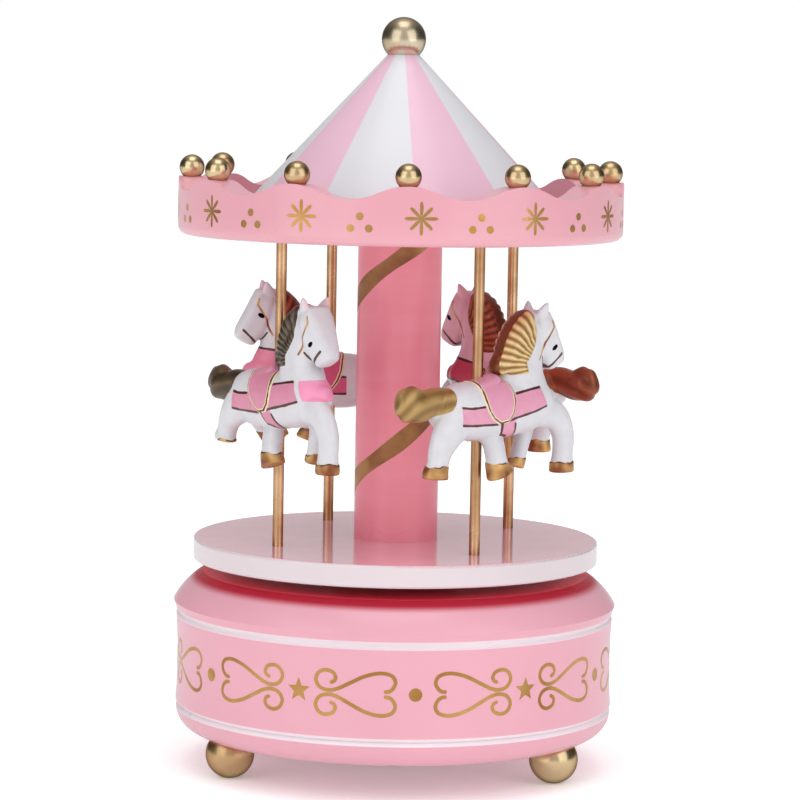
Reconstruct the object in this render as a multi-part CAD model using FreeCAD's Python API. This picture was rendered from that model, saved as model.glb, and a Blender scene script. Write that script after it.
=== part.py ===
import FreeCAD, Part
import math
import os

# Wind-up music box: a pink wooden carousel that turns on a drum with the movement inside.
# Sizes are in millimetres. Z = 0 is the table, -Y is the front, and the carousel turns about Z.

vec = FreeCAD.Vector

# Fits between pieces
glue_gap = 0.03           # round a piece that is glued or screwed in
run_gap = 0.05            # round a shaft that turns in its bearing
end_play = 0.1            # along a shaft, between its shoulder and its bearing
free_gap = 0.5            # between pieces that pass each other

# Ball feet
foot_names = ["back", "front_left", "front_right"]
foot_d = 11.6
foot_flat_d = 2.4         # sanded flat that each ball stands on
foot_inset = 8.5          # from the drum's band in to the feet's centres
foot_sink = 2.9           # how deep each ball sits in the board

# Bottom board and drum
board_t = 6.3
board_step = 0.1          # how far the board stands back from the drum's band
board_round = 5.8         # width of the board's rounded edge
drum_wall = 8.9           # round the chamber that holds the movement
drum_top_t = 4.0
band_h = 22.4             # from the lower groove to the upper groove
band_hollow = 0.4         # how far the band is hollowed between its grooves
groove_h = 1.6
groove_depth = 0.9
bead_out = 0.6            # how far the top moulding stands out past the band
bead_h = 2.7              # from the upper groove to the rounded shoulder
shoulder_r = 7.0
shoulder_swell = 0.57     # how far out the middle of the shoulder stands, as a share of its radius

# Platform, column and poles
platform_r = 48.9
platform_t = 5.3
platform_edge_r = 0.6
column_d = 20.2
column_h = 73.0
tenon_d = 10.0
tenon_l = 2.8
pole_d = 2.5
pole_circle_r = 34.0
pole_socket = 2.6
pole_deg = {"front_left": 215.0, "front_right": 303.0, "back_right": 35.0, "back_left": 120.0}

# Canopy
rim_r = 53.4
rim_wall = 6.3
rim_floor_t = 4.0
rim_edge_r = 2.0          # rounded lower edge
rim_valley_h = 10.6       # from the canopy's underside
rim_wave = 3.1            # from valley to peak
scallop_count = 12
scallop_first_deg = -88.2
rim_ball_d = 6.0
rim_ball_sink = 0.9
trough_w = 6.5            # between the rim and the foot of the cone
cone_h = 39.4
cone_neck_r = 3.8
finial_d = 10.6

# Horses, which are pushed on their poles at heights and turns of their own
horse_lift = {"front_left": 18.0, "front_right": 17.0, "back_right": 17.9, "back_left": 17.8}
horse_yaw = {"front_left": 3.5, "front_right": 3.5, "back_right": 15.0, "back_left": -19.0}
horse_gathered = ["back_right"]   # with the trailing hind leg drawn in, on the inner side
horse_out = 1.9           # from the pole out to the middle of the horse
saddle_t = 0.45
saddle_back = -3.8
saddle_front = 6.2
saddle_low = 14.2         # from the lowest hoof

# Bearing and drive between the movement and the platform
spindle_d = 5.0
bush_d = 9.0
bush_l = 8.0
bush_flange_d = 16.0
bush_flange_t = 0.8
washer_d = 15.0
washer_t = 0.6
hub_d = 30.0
hub_t = 1.4
hub_screw_count = 3

# Movement: bedplate, winding and spring barrel
movement_room = 1.2       # round the movement, inside the drum
bedplate_t = 2.5
bedplate_margin = 1.3     # past what stands on the bedplate
bedplate_screw_inset = 4.0
arbor_d = 4.0
arbor_pivot_d = 2.4
arbor_pivot_l = 3.0
ratchet_d = 11.0
ratchet_t = 1.4
ratchet_teeth = 16
ratchet_tooth_h = 0.9
click_t = 1.2
click_reach = 4.0         # from the ratchet wheel out to the click's screw
click_rise = 3.0          # from the click's nose along to its screw
click_heel_d = 3.6
click_nose_w = 1.3
barrel_gap = 1.5          # between the barrel's wall and the crown teeth
barrel_wall = 0.8
barrel_floor_t = 1.5
barrel_h = 13.9
barrel_lid_t = 1.2
ratchet_room = 3.2        # from the bedplate to the barrel
spring_t = 0.35
spring_turns = 7
spring_core_gap = 1.2     # between the arbor and the spring's first turn
key_span = 22.0
key_h = 5.6
key_t = 1.6
key_hub_d = 6.4
key_hub_l = 7.6
key_gap = 0.6             # between the key's wings and the board

# Movement: gears, all with straight teeth
pressure_deg = 20.0
tooth_fill = 0.33         # share of the pitch that a tooth takes up
tooth_addendum = 0.8      # in modules
tooth_dedendum = 1.2
crown_module = 0.6
crown_teeth = 42
crown_face = 2.2
crown_pinion_teeth = 14
train_module = 0.4
cylinder_gear_teeth = 40
second_pinion_teeth = 10
gear_t = 1.2
gear_room = 1.5           # round the large gear, where the bedplate is hollowed under it
worm_module = 0.5
worm_wheel_teeth = 24
worm_wheel_t = 1.5
worm_pitch_d = 4.0
worm_l = 8.0

# Movement: cylinder, comb and governor
bracket_t = 1.4
bracket_w = 8.0
bracket_foot_t = 1.5
bracket_foot_l = 4.8
cylinder_d = 12.4
cylinder_l = 16.6
cylinder_arbor_d = 2.0
pin_d = 0.4
pin_h = 0.5
pins_per_note = 3
note_count = 18
comb_t = 1.4
comb_tooth_l = 12.5
comb_slit = 0.3
comb_base_l = 7.0
comb_edge = 0.7           # plain strip at each end of the comb
comb_gap = 0.15           # between the tooth tips and the pins
second_arbor_d = 1.6
worm_shaft_d = 1.6
frame_plate_t = 1.2
frame_margin = 3.0        # from the worm's axis out to the frame's edge
fan_d = 7.8
fan_h = 4.6
fan_t = 0.5

# Screws: head diameter, head depth, shank diameter, length
wood_screw = (5.4, 1.9, 2.8, 12.0)
foot_screw = (5.0, 1.7, 2.6, 10.5)
plate_screw = (3.6, 1.2, 1.8, 5.0)
small_screw = (2.4, 0.7, 1.4, 2.6)
hub_screw = (3.4, 1.1, 1.8, 4.6)
screw_sink = 0.4          # how deep the board screws' heads go in

# The movement's places, worked out from its gears
crown_r = crown_module * crown_teeth / 2
crown_pinion_r = crown_module * crown_pinion_teeth / 2
crown_rim_r = crown_r + crown_face / 2
barrel_d = 2 * (crown_r - crown_face / 2 - barrel_gap)
inner_bracket_x = crown_rim_r + free_gap
cylinder_x = inner_bracket_x + bracket_t + free_gap
cylinder_end_x = cylinder_x + cylinder_l
worm_wheel_x = cylinder_end_x + 2 * free_gap
cylinder_gear_x = worm_wheel_x + worm_wheel_t + free_gap
cylinder_gear_tip_r = train_module * (cylinder_gear_teeth / 2 + tooth_addendum)
outer_bracket_x = cylinder_gear_x + gear_t + free_gap
arbor_end_x = outer_bracket_x + bracket_t
second_y = train_module * (cylinder_gear_teeth + second_pinion_teeth) / 2
worm_wheel_r = worm_module * worm_wheel_teeth / 2
worm_lead = math.pi * worm_module
worm_x = worm_wheel_x + worm_wheel_t / 2
worm_y = second_y + worm_wheel_r + worm_pitch_d / 2
pin_circle_r = cylinder_d / 2 + pin_h
comb_tip_y = -(pin_circle_r + comb_gap)
comb_root_y = comb_tip_y - comb_tooth_l
comb_back_y = comb_root_y - comb_base_l
frame_x = worm_x - fan_d / 2 - free_gap - frame_plate_t
frame_low_y = pin_circle_r + free_gap
frame_high_y = worm_y + frame_margin

# The drum goes round the movement, and the rest of the base follows the drum
fan_reach = math.hypot(worm_x, worm_y) + fan_d / 2
comb_reach = math.hypot(cylinder_end_x, comb_back_y)
bracket_reach = math.hypot(arbor_end_x, second_y + bracket_w / 4)
cavity_r = max(fan_reach, comb_reach, bracket_reach) + movement_room
drum_r = cavity_r + drum_wall
drum_h = band_h + bead_h + shoulder_r
board_edge_r = drum_r - board_step
board_flat_r = board_edge_r - board_round
foot_circle_r = drum_r - foot_inset
bedplate_r = cavity_r - free_gap
bedplate_back_x = -(crown_rim_r + bedplate_margin)
bedplate_low_y = comb_back_y - bedplate_margin
bedplate_high_y = frame_high_y + bedplate_margin

# Heights, from the table up
foot_r = foot_d / 2
foot_z = math.sqrt(foot_r ** 2 - (foot_flat_d / 2) ** 2)
board_z = foot_z + foot_r - foot_sink
drum_z = board_z + board_t
top_z = drum_z + drum_h
cavity_top_z = top_z - drum_top_t
washer_z = top_z + bush_flange_t
hub_z = washer_z + washer_t + end_play
platform_z = hub_z + hub_t
deck_z = platform_z + platform_t
canopy_z = deck_z + column_h
floor_z = canopy_z + rim_floor_t
peak_z = canopy_z + rim_valley_h + rim_wave
cone_top_z = floor_z + cone_h
finial_z = cone_top_z + math.sqrt((finial_d / 2) ** 2 - cone_neck_r ** 2)
bedplate_top_z = drum_z + bedplate_t
ratchet_z = bedplate_top_z + end_play
barrel_z = bedplate_top_z + ratchet_room
barrel_floor_top_z = barrel_z + barrel_floor_t
lid_z = barrel_z + barrel_h
axis_z = barrel_floor_top_z + tooth_dedendum * crown_module + crown_pinion_r
worm_z = axis_z - worm_l / 2
fan_z = worm_z + worm_l + 2 * free_gap
frame_arm_z = fan_z + fan_h + free_gap
comb_z = axis_z - comb_t / 2
key_z = board_z - key_gap - key_h

# Circles that small pieces stand on
rim_inner_r = rim_r - rim_wall
rim_ball_r = rim_r - rim_wall / 2
cone_base_r = rim_inner_r - trough_w
hub_screw_circle_r = (spindle_d + hub_d) / 4


def polar(radius, degrees):
    turn = math.radians(degrees)
    return radius * math.cos(turn), radius * math.sin(turn)


def rod(diameter, z0, z1, x=0.0, y=0.0):
    return Part.makeCylinder(diameter / 2, z1 - z0, vec(x, y, z0))


def cross_rod(diameter, x0, x1, y, z):
    return Part.makeCylinder(diameter / 2, x1 - x0, vec(x0, y, z), vec(1, 0, 0))


def block(x0, x1, y0, y1, z0, z1):
    return Part.makeBox(x1 - x0, y1 - y0, z1 - z0, vec(x0, y0, z0))


def ball(diameter, x, y, z):
    return Part.makeSphere(diameter / 2, vec(x, y, z))


def line(a, b):
    return Part.makeLine(vec(a[0], 0, a[1]), vec(b[0], 0, b[1]))


def arc(a, through, b):
    points = [vec(p[0], 0, p[1]) for p in (a, through, b)]
    return Part.Arc(*points).toShape()


def quarter_point(centre, radius_x, radius_z):
    return centre[0] + radius_x * math.sqrt(0.5), centre[1] + radius_z * math.sqrt(0.5)


def turned(edges):
    face = Part.Face(Part.Wire(edges))
    return face.revolve(vec(0, 0, 0), vec(0, 0, 1), 360)


def turned_polygon(points):
    corners = points + points[:1]
    return turned([line(a, b) for a, b in zip(corners, corners[1:])])


def prism(points, height):
    corners = [vec(*p) for p in points]
    face = Part.Face(Part.makePolygon(corners + corners[:1]))
    return face.extrude(vec(0, 0, height))


def upright(shape, x, y, z):
    # Turns a shape made about Z so that its axis runs along X, with its own X axis pointing up.
    turned_shape = shape.copy()
    turned_shape.rotate(vec(0, 0, 0), vec(0, 1, 0), 90)
    turned_shape.rotate(vec(0, 0, 0), vec(1, 0, 0), 180)
    turned_shape.translate(vec(x, y, z))
    return turned_shape


def screw(sizes, x, y, z, up=False, grow=0.0):
    # The head's flat is at z. The shank points down, or up.
    head_d, head_h, shank_d, length = sizes
    head_r, shank_r = head_d / 2 + grow, shank_d / 2 + grow
    tip_h = shank_d / 2
    body = turned_polygon([(0, 0), (head_r, 0), (shank_r, -head_h), (shank_r, tip_h - length),
                           (0, -length - grow)])
    if up:
        body.rotate(vec(0, 0, 0), vec(1, 0, 0), 180)
    body.translate(vec(x, y, z))
    return body


def cut_screws(shape, sizes, places, up=False):
    for x, y, z in places:
        shape = shape.cut(screw(sizes, x, y, z, up, glue_gap))
    return shape


def screws(sizes, places, up=False):
    return Part.makeCompound([screw(sizes, x, y, z, up) for x, y, z in places])


def save(name, shape):
    if not shape.isValid():
        print("not valid:", name)
    shape.exportStep("parts/" + name + ".step")


# Base: feet, bottom board and drum

def foot_places():
    step = 360 / len(foot_names)
    return [polar(foot_circle_r, 90 + step * k) for k in range(len(foot_names))]


def foot_screw_places():
    return [(x, y, drum_z) for x, y in foot_places()]


def board_screw_places():
    # Midway between the feet, up into the drum's wall.
    step = 360 / len(foot_names)
    circle_r = cavity_r + wood_screw[2]
    return [(*polar(circle_r, 90 + step * (k + 0.5)), board_z + screw_sink) for k in range(len(foot_names))]


def movement_screw_places():
    inset = bedplate_screw_inset
    side = math.sqrt(bedplate_r ** 2 - (bedplate_low_y / 2) ** 2) - inset
    return [(bedplate_back_x + inset, bedplate_low_y + 2 * inset, bedplate_top_z),
            (bedplate_back_x + inset, bedplate_high_y - inset, bedplate_top_z),
            (side, bedplate_low_y / 2, bedplate_top_z)]


def make_feet():
    # Each ball stands on its flat and is sunk into the board.
    feet = []
    for x, y in foot_places():
        foot = ball(foot_d, x, y, foot_z)
        foot = foot.cut(block(x - foot_d, x + foot_d, y - foot_d, y + foot_d, -foot_d, 0))
        feet.append(cut_screws(foot, foot_screw, [(x, y, drum_z)]))
    return feet


def make_board():
    groove_r = board_edge_r - groove_depth
    edge_z = drum_z - groove_h / 2
    corner = (board_flat_r, edge_z)
    round_x, round_z = board_edge_r - board_flat_r, edge_z - board_z
    profile = [line((0, board_z), (board_flat_r, board_z)),
               arc((board_flat_r, board_z), quarter_point(corner, round_x, -round_z),
                   (board_edge_r, edge_z)),
               line((board_edge_r, edge_z), (groove_r, drum_z)),
               line((groove_r, drum_z), (0, drum_z)),
               line((0, drum_z), (0, board_z))]
    board = turned(profile)
    board = board.cut(rod(key_hub_d + 2 * free_gap, board_z - 1, drum_z + 1))
    for x, y in foot_places():
        board = board.cut(ball(foot_d + 2 * glue_gap, x, y, foot_z))
    board = cut_screws(board, foot_screw, foot_screw_places())
    for x, y, z in board_screw_places():
        board = board.cut(rod(wood_screw[0] + 2 * glue_gap, board_z - 1, z, x, y))
    board = cut_screws(board, wood_screw, board_screw_places(), up=True)
    return cut_screws(board, plate_screw, movement_screw_places())


def make_drum():
    groove_r = drum_r - groove_depth
    half = groove_h / 2
    bead_r = drum_r + bead_out
    band_mid_z = drum_z + band_h / 2
    band_top_z = drum_z + band_h
    shoulder_z = top_z - shoulder_r
    shoulder_x = bead_r - shoulder_r
    foot_groove = (drum_r, drum_z + half)
    bore_r = bush_d / 2 + glue_gap
    profile = [line((cavity_r, drum_z), (groove_r, drum_z)),
               line((groove_r, drum_z), foot_groove),
               arc(foot_groove, (drum_r - band_hollow, band_mid_z), (drum_r, band_top_z - half)),
               arc((drum_r, band_top_z - half), (groove_r, band_top_z), (drum_r, band_top_z + half)),
               line((drum_r, band_top_z + half), (bead_r, shoulder_z)),
               arc((bead_r, shoulder_z),
                   (shoulder_x + shoulder_swell * shoulder_r, shoulder_z + shoulder_swell * shoulder_r),
                   (shoulder_x, top_z)),
               line((shoulder_x, top_z), (bore_r, top_z)),
               line((bore_r, top_z), (bore_r, cavity_top_z)),
               line((bore_r, cavity_top_z), (cavity_r, cavity_top_z)),
               line((cavity_r, cavity_top_z), (cavity_r, drum_z))]
    return cut_screws(turned(profile), wood_screw, board_screw_places(), up=True)


# Platform, column, poles and canopy

def hub_screw_places():
    step = 360 / hub_screw_count
    return [(*polar(hub_screw_circle_r, 90 + step * k), hub_z) for k in range(hub_screw_count)]


def make_platform():
    disc = rod(2 * platform_r, platform_z, deck_z)
    rims = [e for e in disc.Edges if e.Curve.TypeId == "Part::GeomCircle"]
    disc = disc.makeFillet(platform_edge_r, rims)
    disc = disc.cut(rod(spindle_d + 2 * glue_gap, platform_z - 1, deck_z))
    disc = disc.cut(rod(tenon_d + 2 * glue_gap, deck_z - tenon_l - glue_gap, deck_z + 1))
    for degrees in pole_deg.values():
        x, y = polar(pole_circle_r, degrees)
        disc = disc.cut(rod(pole_d + 2 * glue_gap, deck_z - pole_socket, deck_z + 1, x, y))
    return cut_screws(disc, hub_screw, hub_screw_places(), up=True)


def make_column():
    post = rod(column_d, deck_z, canopy_z)
    return post.fuse(rod(tenon_d, deck_z - tenon_l, canopy_z + tenon_l)).removeSplitter()


def make_pole(degrees):
    x, y = polar(pole_circle_r, degrees)
    return rod(pole_d, deck_z - pole_socket, canopy_z + pole_socket, x, y)


def wave_cutter():
    # Takes away what stands above one scallop, from peak to peak, with its width growing outwards.
    def section(radius):
        half = radius * math.tan(math.pi / scallop_count)
        sky_z = peak_z + rim_wave
        valley_z = peak_z - rim_wave
        middle_z = peak_z - rim_wave / 2
        bend_z = peak_z - rim_wave / 8

        def at(share, z):
            return vec(radius, share * half, z)

        return Part.Wire([
            Part.Arc(at(-1, peak_z), at(-0.75, bend_z), at(-0.5, middle_z)).toShape(),
            Part.Arc(at(-0.5, middle_z), at(0, valley_z), at(0.5, middle_z)).toShape(),
            Part.Arc(at(0.5, middle_z), at(0.75, bend_z), at(1, peak_z)).toShape(),
            Part.makeLine(at(1, peak_z), at(1, sky_z)),
            Part.makeLine(at(1, sky_z), at(-1, sky_z)),
            Part.makeLine(at(-1, sky_z), at(-1, peak_z))])

    return Part.makeLoft([section(rim_r - 2 * rim_wall), section(rim_r + rim_wall)], True, True)


def scallop_turn(k):
    return scallop_first_deg + 360 * k / scallop_count


def make_rim_balls():
    balls = []
    for k in range(scallop_count):
        x, y = polar(rim_ball_r, scallop_turn(k))
        balls.append(ball(rim_ball_d, x, y, peak_z + rim_ball_d / 2 - rim_ball_sink))
    return balls


def make_rim():
    inner_r = rim_inner_r
    round_centre = (rim_r - rim_edge_r, canopy_z + rim_edge_r)
    low_round = quarter_point(round_centre, rim_edge_r, -rim_edge_r)
    profile = [line((0, canopy_z), (rim_r - rim_edge_r, canopy_z)),
               arc((rim_r - rim_edge_r, canopy_z), low_round, (rim_r, canopy_z + rim_edge_r)),
               line((rim_r, canopy_z + rim_edge_r), (rim_r, peak_z)),
               line((rim_r, peak_z), (inner_r, peak_z)),
               line((inner_r, peak_z), (inner_r, floor_z)),
               line((inner_r, floor_z), (0, floor_z)),
               line((0, floor_z), (0, canopy_z))]
    rim = turned(profile)
    cutter = wave_cutter()
    for k in range(scallop_count):
        sector = cutter.copy()
        sector.rotate(vec(0, 0, 0), vec(0, 0, 1), scallop_turn(k + 0.5))
        rim = rim.cut(sector)
    for k in range(scallop_count):
        x, y = polar(rim_ball_r, scallop_turn(k))
        seat = ball(rim_ball_d + 2 * glue_gap, x, y, peak_z + rim_ball_d / 2 - rim_ball_sink)
        rim = rim.cut(seat)
    rim = rim.cut(rod(tenon_d + 2 * glue_gap, canopy_z - 1, canopy_z + tenon_l + glue_gap))
    for degrees in pole_deg.values():
        x, y = polar(pole_circle_r, degrees)
        rim = rim.cut(rod(pole_d + 2 * glue_gap, canopy_z - 1, canopy_z + pole_socket + glue_gap, x, y))
    return rim


def make_cone():
    cone = Part.makeCone(cone_base_r, cone_neck_r, cone_h, vec(0, 0, floor_z))
    return cone.cut(ball(finial_d + 2 * glue_gap, 0, 0, finial_z))


# Horses. Places on a horse are forwards from the pole, inwards from the horse's middle, and up from
# its lowest hoof.

def oval(centre, along, across, half_long, half_wide):
    # A closed smooth ring round a centre, half_long in one direction and half_wide in the other.
    ring_count = 8
    points = []
    for k in range(ring_count):
        turn = 2 * math.pi * k / ring_count
        points.append(centre + along * (half_long * math.cos(turn)) + across * (half_wide * math.sin(turn)))
    curve = Part.BSplineCurve()
    curve.interpolate(points, PeriodicFlag=True)
    return Part.Wire(curve.toShape())


def limb(stations):
    # A smooth form through stations of (forwards, inwards, up, half length, half width). Each section
    # is square to the line from the station before it to the one after it, seen from the side.
    sections = []
    last = len(stations) - 1
    for k, (u, v, w, half_long, half_wide) in enumerate(stations):
        before, after = stations[max(k - 1, 0)], stations[min(k + 1, last)]
        run = vec(after[0] - before[0], 0, after[2] - before[2]).normalize()
        along = vec(-run.z, 0, run.x)
        sections.append(oval(vec(u, v, w), along, vec(0, 1, 0), half_long, half_wide))
    return Part.makeLoft(sections, True, False)


def torso(grow):
    stations = [(-13.6, 17.0, 2.6, 2.4), (-11.0, 17.2, 5.2, 4.4), (-6.0, 17.2, 6.8, 5.3),
                (0.0, 17.2, 6.9, 5.4), (7.0, 17.6, 6.8, 5.4), (13.0, 18.4, 6.6, 5.1),
                (18.0, 19.0, 5.2, 4.2), (21.8, 19.3, 2.2, 2.0)]
    sections = [oval(vec(u, 0, w), vec(0, 0, 1), vec(0, 1, 0), tall + grow, wide + grow)
                for u, w, tall, wide in stations]
    return Part.makeLoft(sections, True, False)


def make_horse_form(gathered):
    neck = limb([(11.5, 0, 20.0, 8.0, 4.7), (11.2, 0, 26.0, 6.0, 4.2), (12.2, 0, 31.0, 5.0, 3.8),
                 (14.0, 0, 36.0, 3.6, 3.3)])
    mane = limb([(4.4, 0, 26.4, 1.4, 2.0), (6.8, 0, 30.6, 3.0, 3.6), (9.0, 0, 35.0, 3.2, 3.9),
                 (11.6, 0, 38.2, 2.6, 3.4), (14.4, 0, 40.2, 1.2, 1.8)])
    head = limb([(15.0, 0, 38.8, 2.6, 3.0), (16.6, 0, 35.6, 3.9, 3.9), (18.4, 0, 32.2, 3.8, 3.8),
                 (19.7, 0, 29.4, 3.0, 3.0), (20.4, 0, 27.2, 1.5, 2.0)])
    tail = limb([(-9.0, 0, 20.4, 2.3, 1.9), (-13.5, 0, 19.8, 3.4, 2.4), (-17.6, 0, 18.9, 3.6, 2.6),
                 (-21.6, 0, 19.6, 4.2, 2.6), (-24.6, 0, 19.8, 2.0, 1.5)])
    if gathered:
        hind_trailing = limb([(-8.6, 2.4, 16.0, 4.6, 2.8), (-9.8, 2.5, 12.2, 4.0, 2.7),
                              (-9.7, 2.5, 8.8, 3.2, 2.4), (-9.3, 2.5, 5.6, 2.6, 2.2),
                              (-9.1, 2.5, 2.3, 3.1, 2.4)])
    else:
        hind_trailing = limb([(-8.6, -2.4, 16.0, 5.0, 2.8), (-11.8, -2.5, 12.2, 4.2, 2.7),
                              (-13.6, -2.5, 8.8, 3.2, 2.4), (-14.4, -2.5, 5.6, 2.6, 2.2),
                              (-15.0, -2.5, 2.3, 3.1, 2.4)])
    hind_leading = limb([(-2.6, 1.2, 14.0, 4.4, 2.4), (0.4, -1.0, 10.4, 3.2, 2.4),
                         (2.0, -2.2, 6.6, 2.6, 2.2), (2.8, -2.4, 4.0, 2.6, 2.2),
                         (4.0, -2.5, 0.8, 3.0, 2.3)])
    fore_leading = limb([(15.0, -1.8, 17.0, 4.2, 2.4), (20.8, -1.6, 15.0, 3.4, 2.4),
                         (23.4, -1.4, 10.6, 2.9, 2.3), (23.5, -1.3, 6.4, 2.6, 2.2),
                         (23.3, -1.3, 1.8, 3.0, 2.4)])
    fore_trailing = limb([(14.0, 2.4, 16.0, 3.6, 2.3), (14.6, 2.2, 12.0, 2.8, 2.1),
                          (13.2, 1.9, 7.6, 2.2, 2.0), (11.8, 1.8, 3.2, 2.5, 2.1)])
    ears = [limb([(15.2, side * 2.2, 38.6, 1.8, 1.3), (15.7, side * 2.9, 40.4, 1.3, 0.9),
                  (16.1, side * 3.6, 42.2, 0.4, 0.35)]) for side in (-1, 1)]
    girth = torso(saddle_t)
    space = girth.BoundBox
    saddle = girth.common(block(saddle_back, saddle_front, space.YMin, space.YMax, saddle_low, space.ZMax))
    pieces = [neck, mane, head, tail, hind_trailing, hind_leading, fore_leading, fore_trailing, saddle] + ears
    horse = torso(0.0)
    for piece in pieces:
        horse = horse.fuse(piece)
    return horse


def make_horse(form, name):
    # The hole for the pole is cut once the horse stands in its place, so the pole stays upright in it.
    horse = form.copy()
    horse.rotate(vec(0, 0, 0), vec(0, 0, 1), pole_deg[name] + 90 + horse_yaw[name])
    horse.translate(vec(*polar(pole_circle_r + horse_out, pole_deg[name]), deck_z + horse_lift[name]))
    x, y = polar(pole_circle_r, pole_deg[name])
    return horse.cut(rod(pole_d + 2 * glue_gap, deck_z, canopy_z, x, y))


# Bearing and drive

def make_bush():
    bush = rod(bush_d, top_z - bush_l, top_z).fuse(rod(bush_flange_d, top_z, top_z + bush_flange_t))
    bore = rod(spindle_d + 2 * run_gap, top_z - bush_l - 1, washer_z + 1)
    return bush.cut(bore).removeSplitter()


def make_washer():
    washer = rod(washer_d, washer_z, washer_z + washer_t)
    return washer.cut(rod(spindle_d + 2 * run_gap, washer_z - 1, washer_z + washer_t + 1))


def make_hub():
    hub = rod(hub_d, hub_z, platform_z)
    hub = hub.cut(rod(spindle_d + 2 * glue_gap, hub_z - 1, platform_z + 1))
    return cut_screws(hub, hub_screw, hub_screw_places(), up=True)


def make_spindle():
    spindle = rod(spindle_d, lid_z, deck_z - tenon_l - end_play)
    socket = rod(arbor_pivot_d + 2 * run_gap, lid_z - 1, lid_z + arbor_pivot_l + end_play)
    return spindle.cut(socket)


# Winding and spring barrel

def make_arbor():
    arbor = rod(arbor_d, key_z + key_h / 2, lid_z - end_play)
    return arbor.fuse(rod(arbor_pivot_d, lid_z - end_play, lid_z + arbor_pivot_l)).removeSplitter()


def make_ratchet():
    points = []
    root_r = ratchet_d / 2 - ratchet_tooth_h
    step = 360 / ratchet_teeth
    for k in range(ratchet_teeth):
        points.append((*polar(ratchet_d / 2, k * step), ratchet_z))
        points.append((*polar(root_r, k * step), ratchet_z))
    wheel = prism(points[::-1], ratchet_t)
    return wheel.cut(rod(arbor_d + 2 * glue_gap, ratchet_z - 1, ratchet_z + ratchet_t + 1))


def click_place():
    return -(ratchet_d / 2 + click_reach), click_rise


def make_click():
    # A finger from its screw to the ratchet wheel, lifted just clear of the teeth.
    x, y = click_place()
    z = bedplate_top_z
    half = click_heel_d / 3
    nose_x = -(ratchet_d / 2 + 2 * end_play)
    finger = prism([(x - half, y, z), (nose_x - click_nose_w, -click_nose_w / 2, z), (nose_x, 0, z),
                    (x + half, y + half, z)], click_t)
    click = finger.fuse(rod(click_heel_d, z, z + click_t, x, y)).removeSplitter()
    return cut_screws(click, small_screw, [(x, y, z + click_t)])


def make_barrel():
    barrel = rod(2 * crown_rim_r, barrel_z, barrel_floor_top_z)
    wall = rod(barrel_d, barrel_z, lid_z).cut(
        rod(barrel_d - 2 * barrel_wall, barrel_floor_top_z, lid_z + 1))
    barrel = barrel.fuse(wall)
    flare = math.tan(math.radians(pressure_deg))
    depth = (tooth_addendum + tooth_dedendum) * crown_module
    half_root = tooth_fill * math.pi * crown_module / 2 + tooth_dedendum * crown_module * flare
    half_tip = half_root - depth * flare
    inner_r = crown_r - crown_face / 2
    corners = [vec(inner_r, -half_root, 0), vec(inner_r, -half_tip, depth),
               vec(inner_r, half_tip, depth), vec(inner_r, half_root, 0)]
    tooth = Part.Face(Part.makePolygon(corners + corners[:1])).extrude(vec(crown_face, 0, 0))
    tooth.translate(vec(0, 0, barrel_floor_top_z))
    teeth = []
    for k in range(crown_teeth):
        turned_tooth = tooth.copy()
        turned_tooth.rotate(vec(0, 0, 0), vec(0, 0, 1), 360 * k / crown_teeth)
        teeth.append(turned_tooth)
    outside = rod(2 * crown_rim_r, barrel_z, lid_z)
    barrel = barrel.multiFuse([t.common(outside) for t in teeth])
    return barrel.cut(rod(arbor_d + 2 * run_gap, barrel_z - 1, lid_z)).removeSplitter()


def make_lid():
    lid = rod(barrel_d, lid_z, lid_z + barrel_lid_t)
    return lid.cut(rod(spindle_d + 2 * glue_gap, lid_z - 1, lid_z + barrel_lid_t + 1))


def make_mainspring():
    # A flat spiral of half circles about two centres, one step apart.
    outer_r = barrel_d / 2 - barrel_wall - end_play - spring_t / 2
    inner_r = arbor_d / 2 + spring_core_gap
    step = (outer_r - inner_r) / (2 * spring_turns)
    outside, inside = [], []
    for k in range(2 * spring_turns):
        side = 1 if k % 2 == 0 else -1
        centre_x = 0.0 if side > 0 else step
        radius = inner_r + k * step
        for path, r in ((outside, radius + spring_t / 2), (inside, radius - spring_t / 2)):
            start, end = vec(centre_x + side * r, 0, 0), vec(centre_x - side * r, 0, 0)
            path.append(Part.Arc(start, vec(centre_x, side * r, 0), end).toShape())
    caps = [Part.makeLine(inside[0].Vertexes[0].Point, outside[0].Vertexes[0].Point),
            Part.makeLine(inside[-1].Vertexes[-1].Point, outside[-1].Vertexes[-1].Point)]
    wire = Part.Wire(Part.__sortEdges__(outside + inside + caps))
    height = lid_z - barrel_floor_top_z - 2 * end_play
    spring = Part.Face(wire).extrude(vec(0, 0, height))
    spring.translate(vec(-step / 2, 0, barrel_floor_top_z + end_play))
    return spring


def make_key():
    # Two rounded wings on a hub that screws onto the arbor.
    low_z, high_z = key_z, key_z + key_h
    lobe_r = key_h / 2
    wings = [block(-key_span / 2 + lobe_r, key_span / 2 - lobe_r, -key_t / 2, key_t / 2, low_z, high_z)]
    for side in (-1, 1):
        lobe_x = side * (key_span / 2 - lobe_r)
        lobe = Part.makeCylinder(lobe_r, key_t, vec(lobe_x, -key_t / 2, low_z + lobe_r), vec(0, 1, 0))
        wings.append(lobe)
    hub = rod(key_hub_d, low_z, low_z + key_hub_l)
    key = hub.multiFuse(wings)
    return key.cut(rod(arbor_d + 2 * glue_gap, low_z + key_h / 2, low_z + key_hub_l + 1)).removeSplitter()


# Gears

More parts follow.
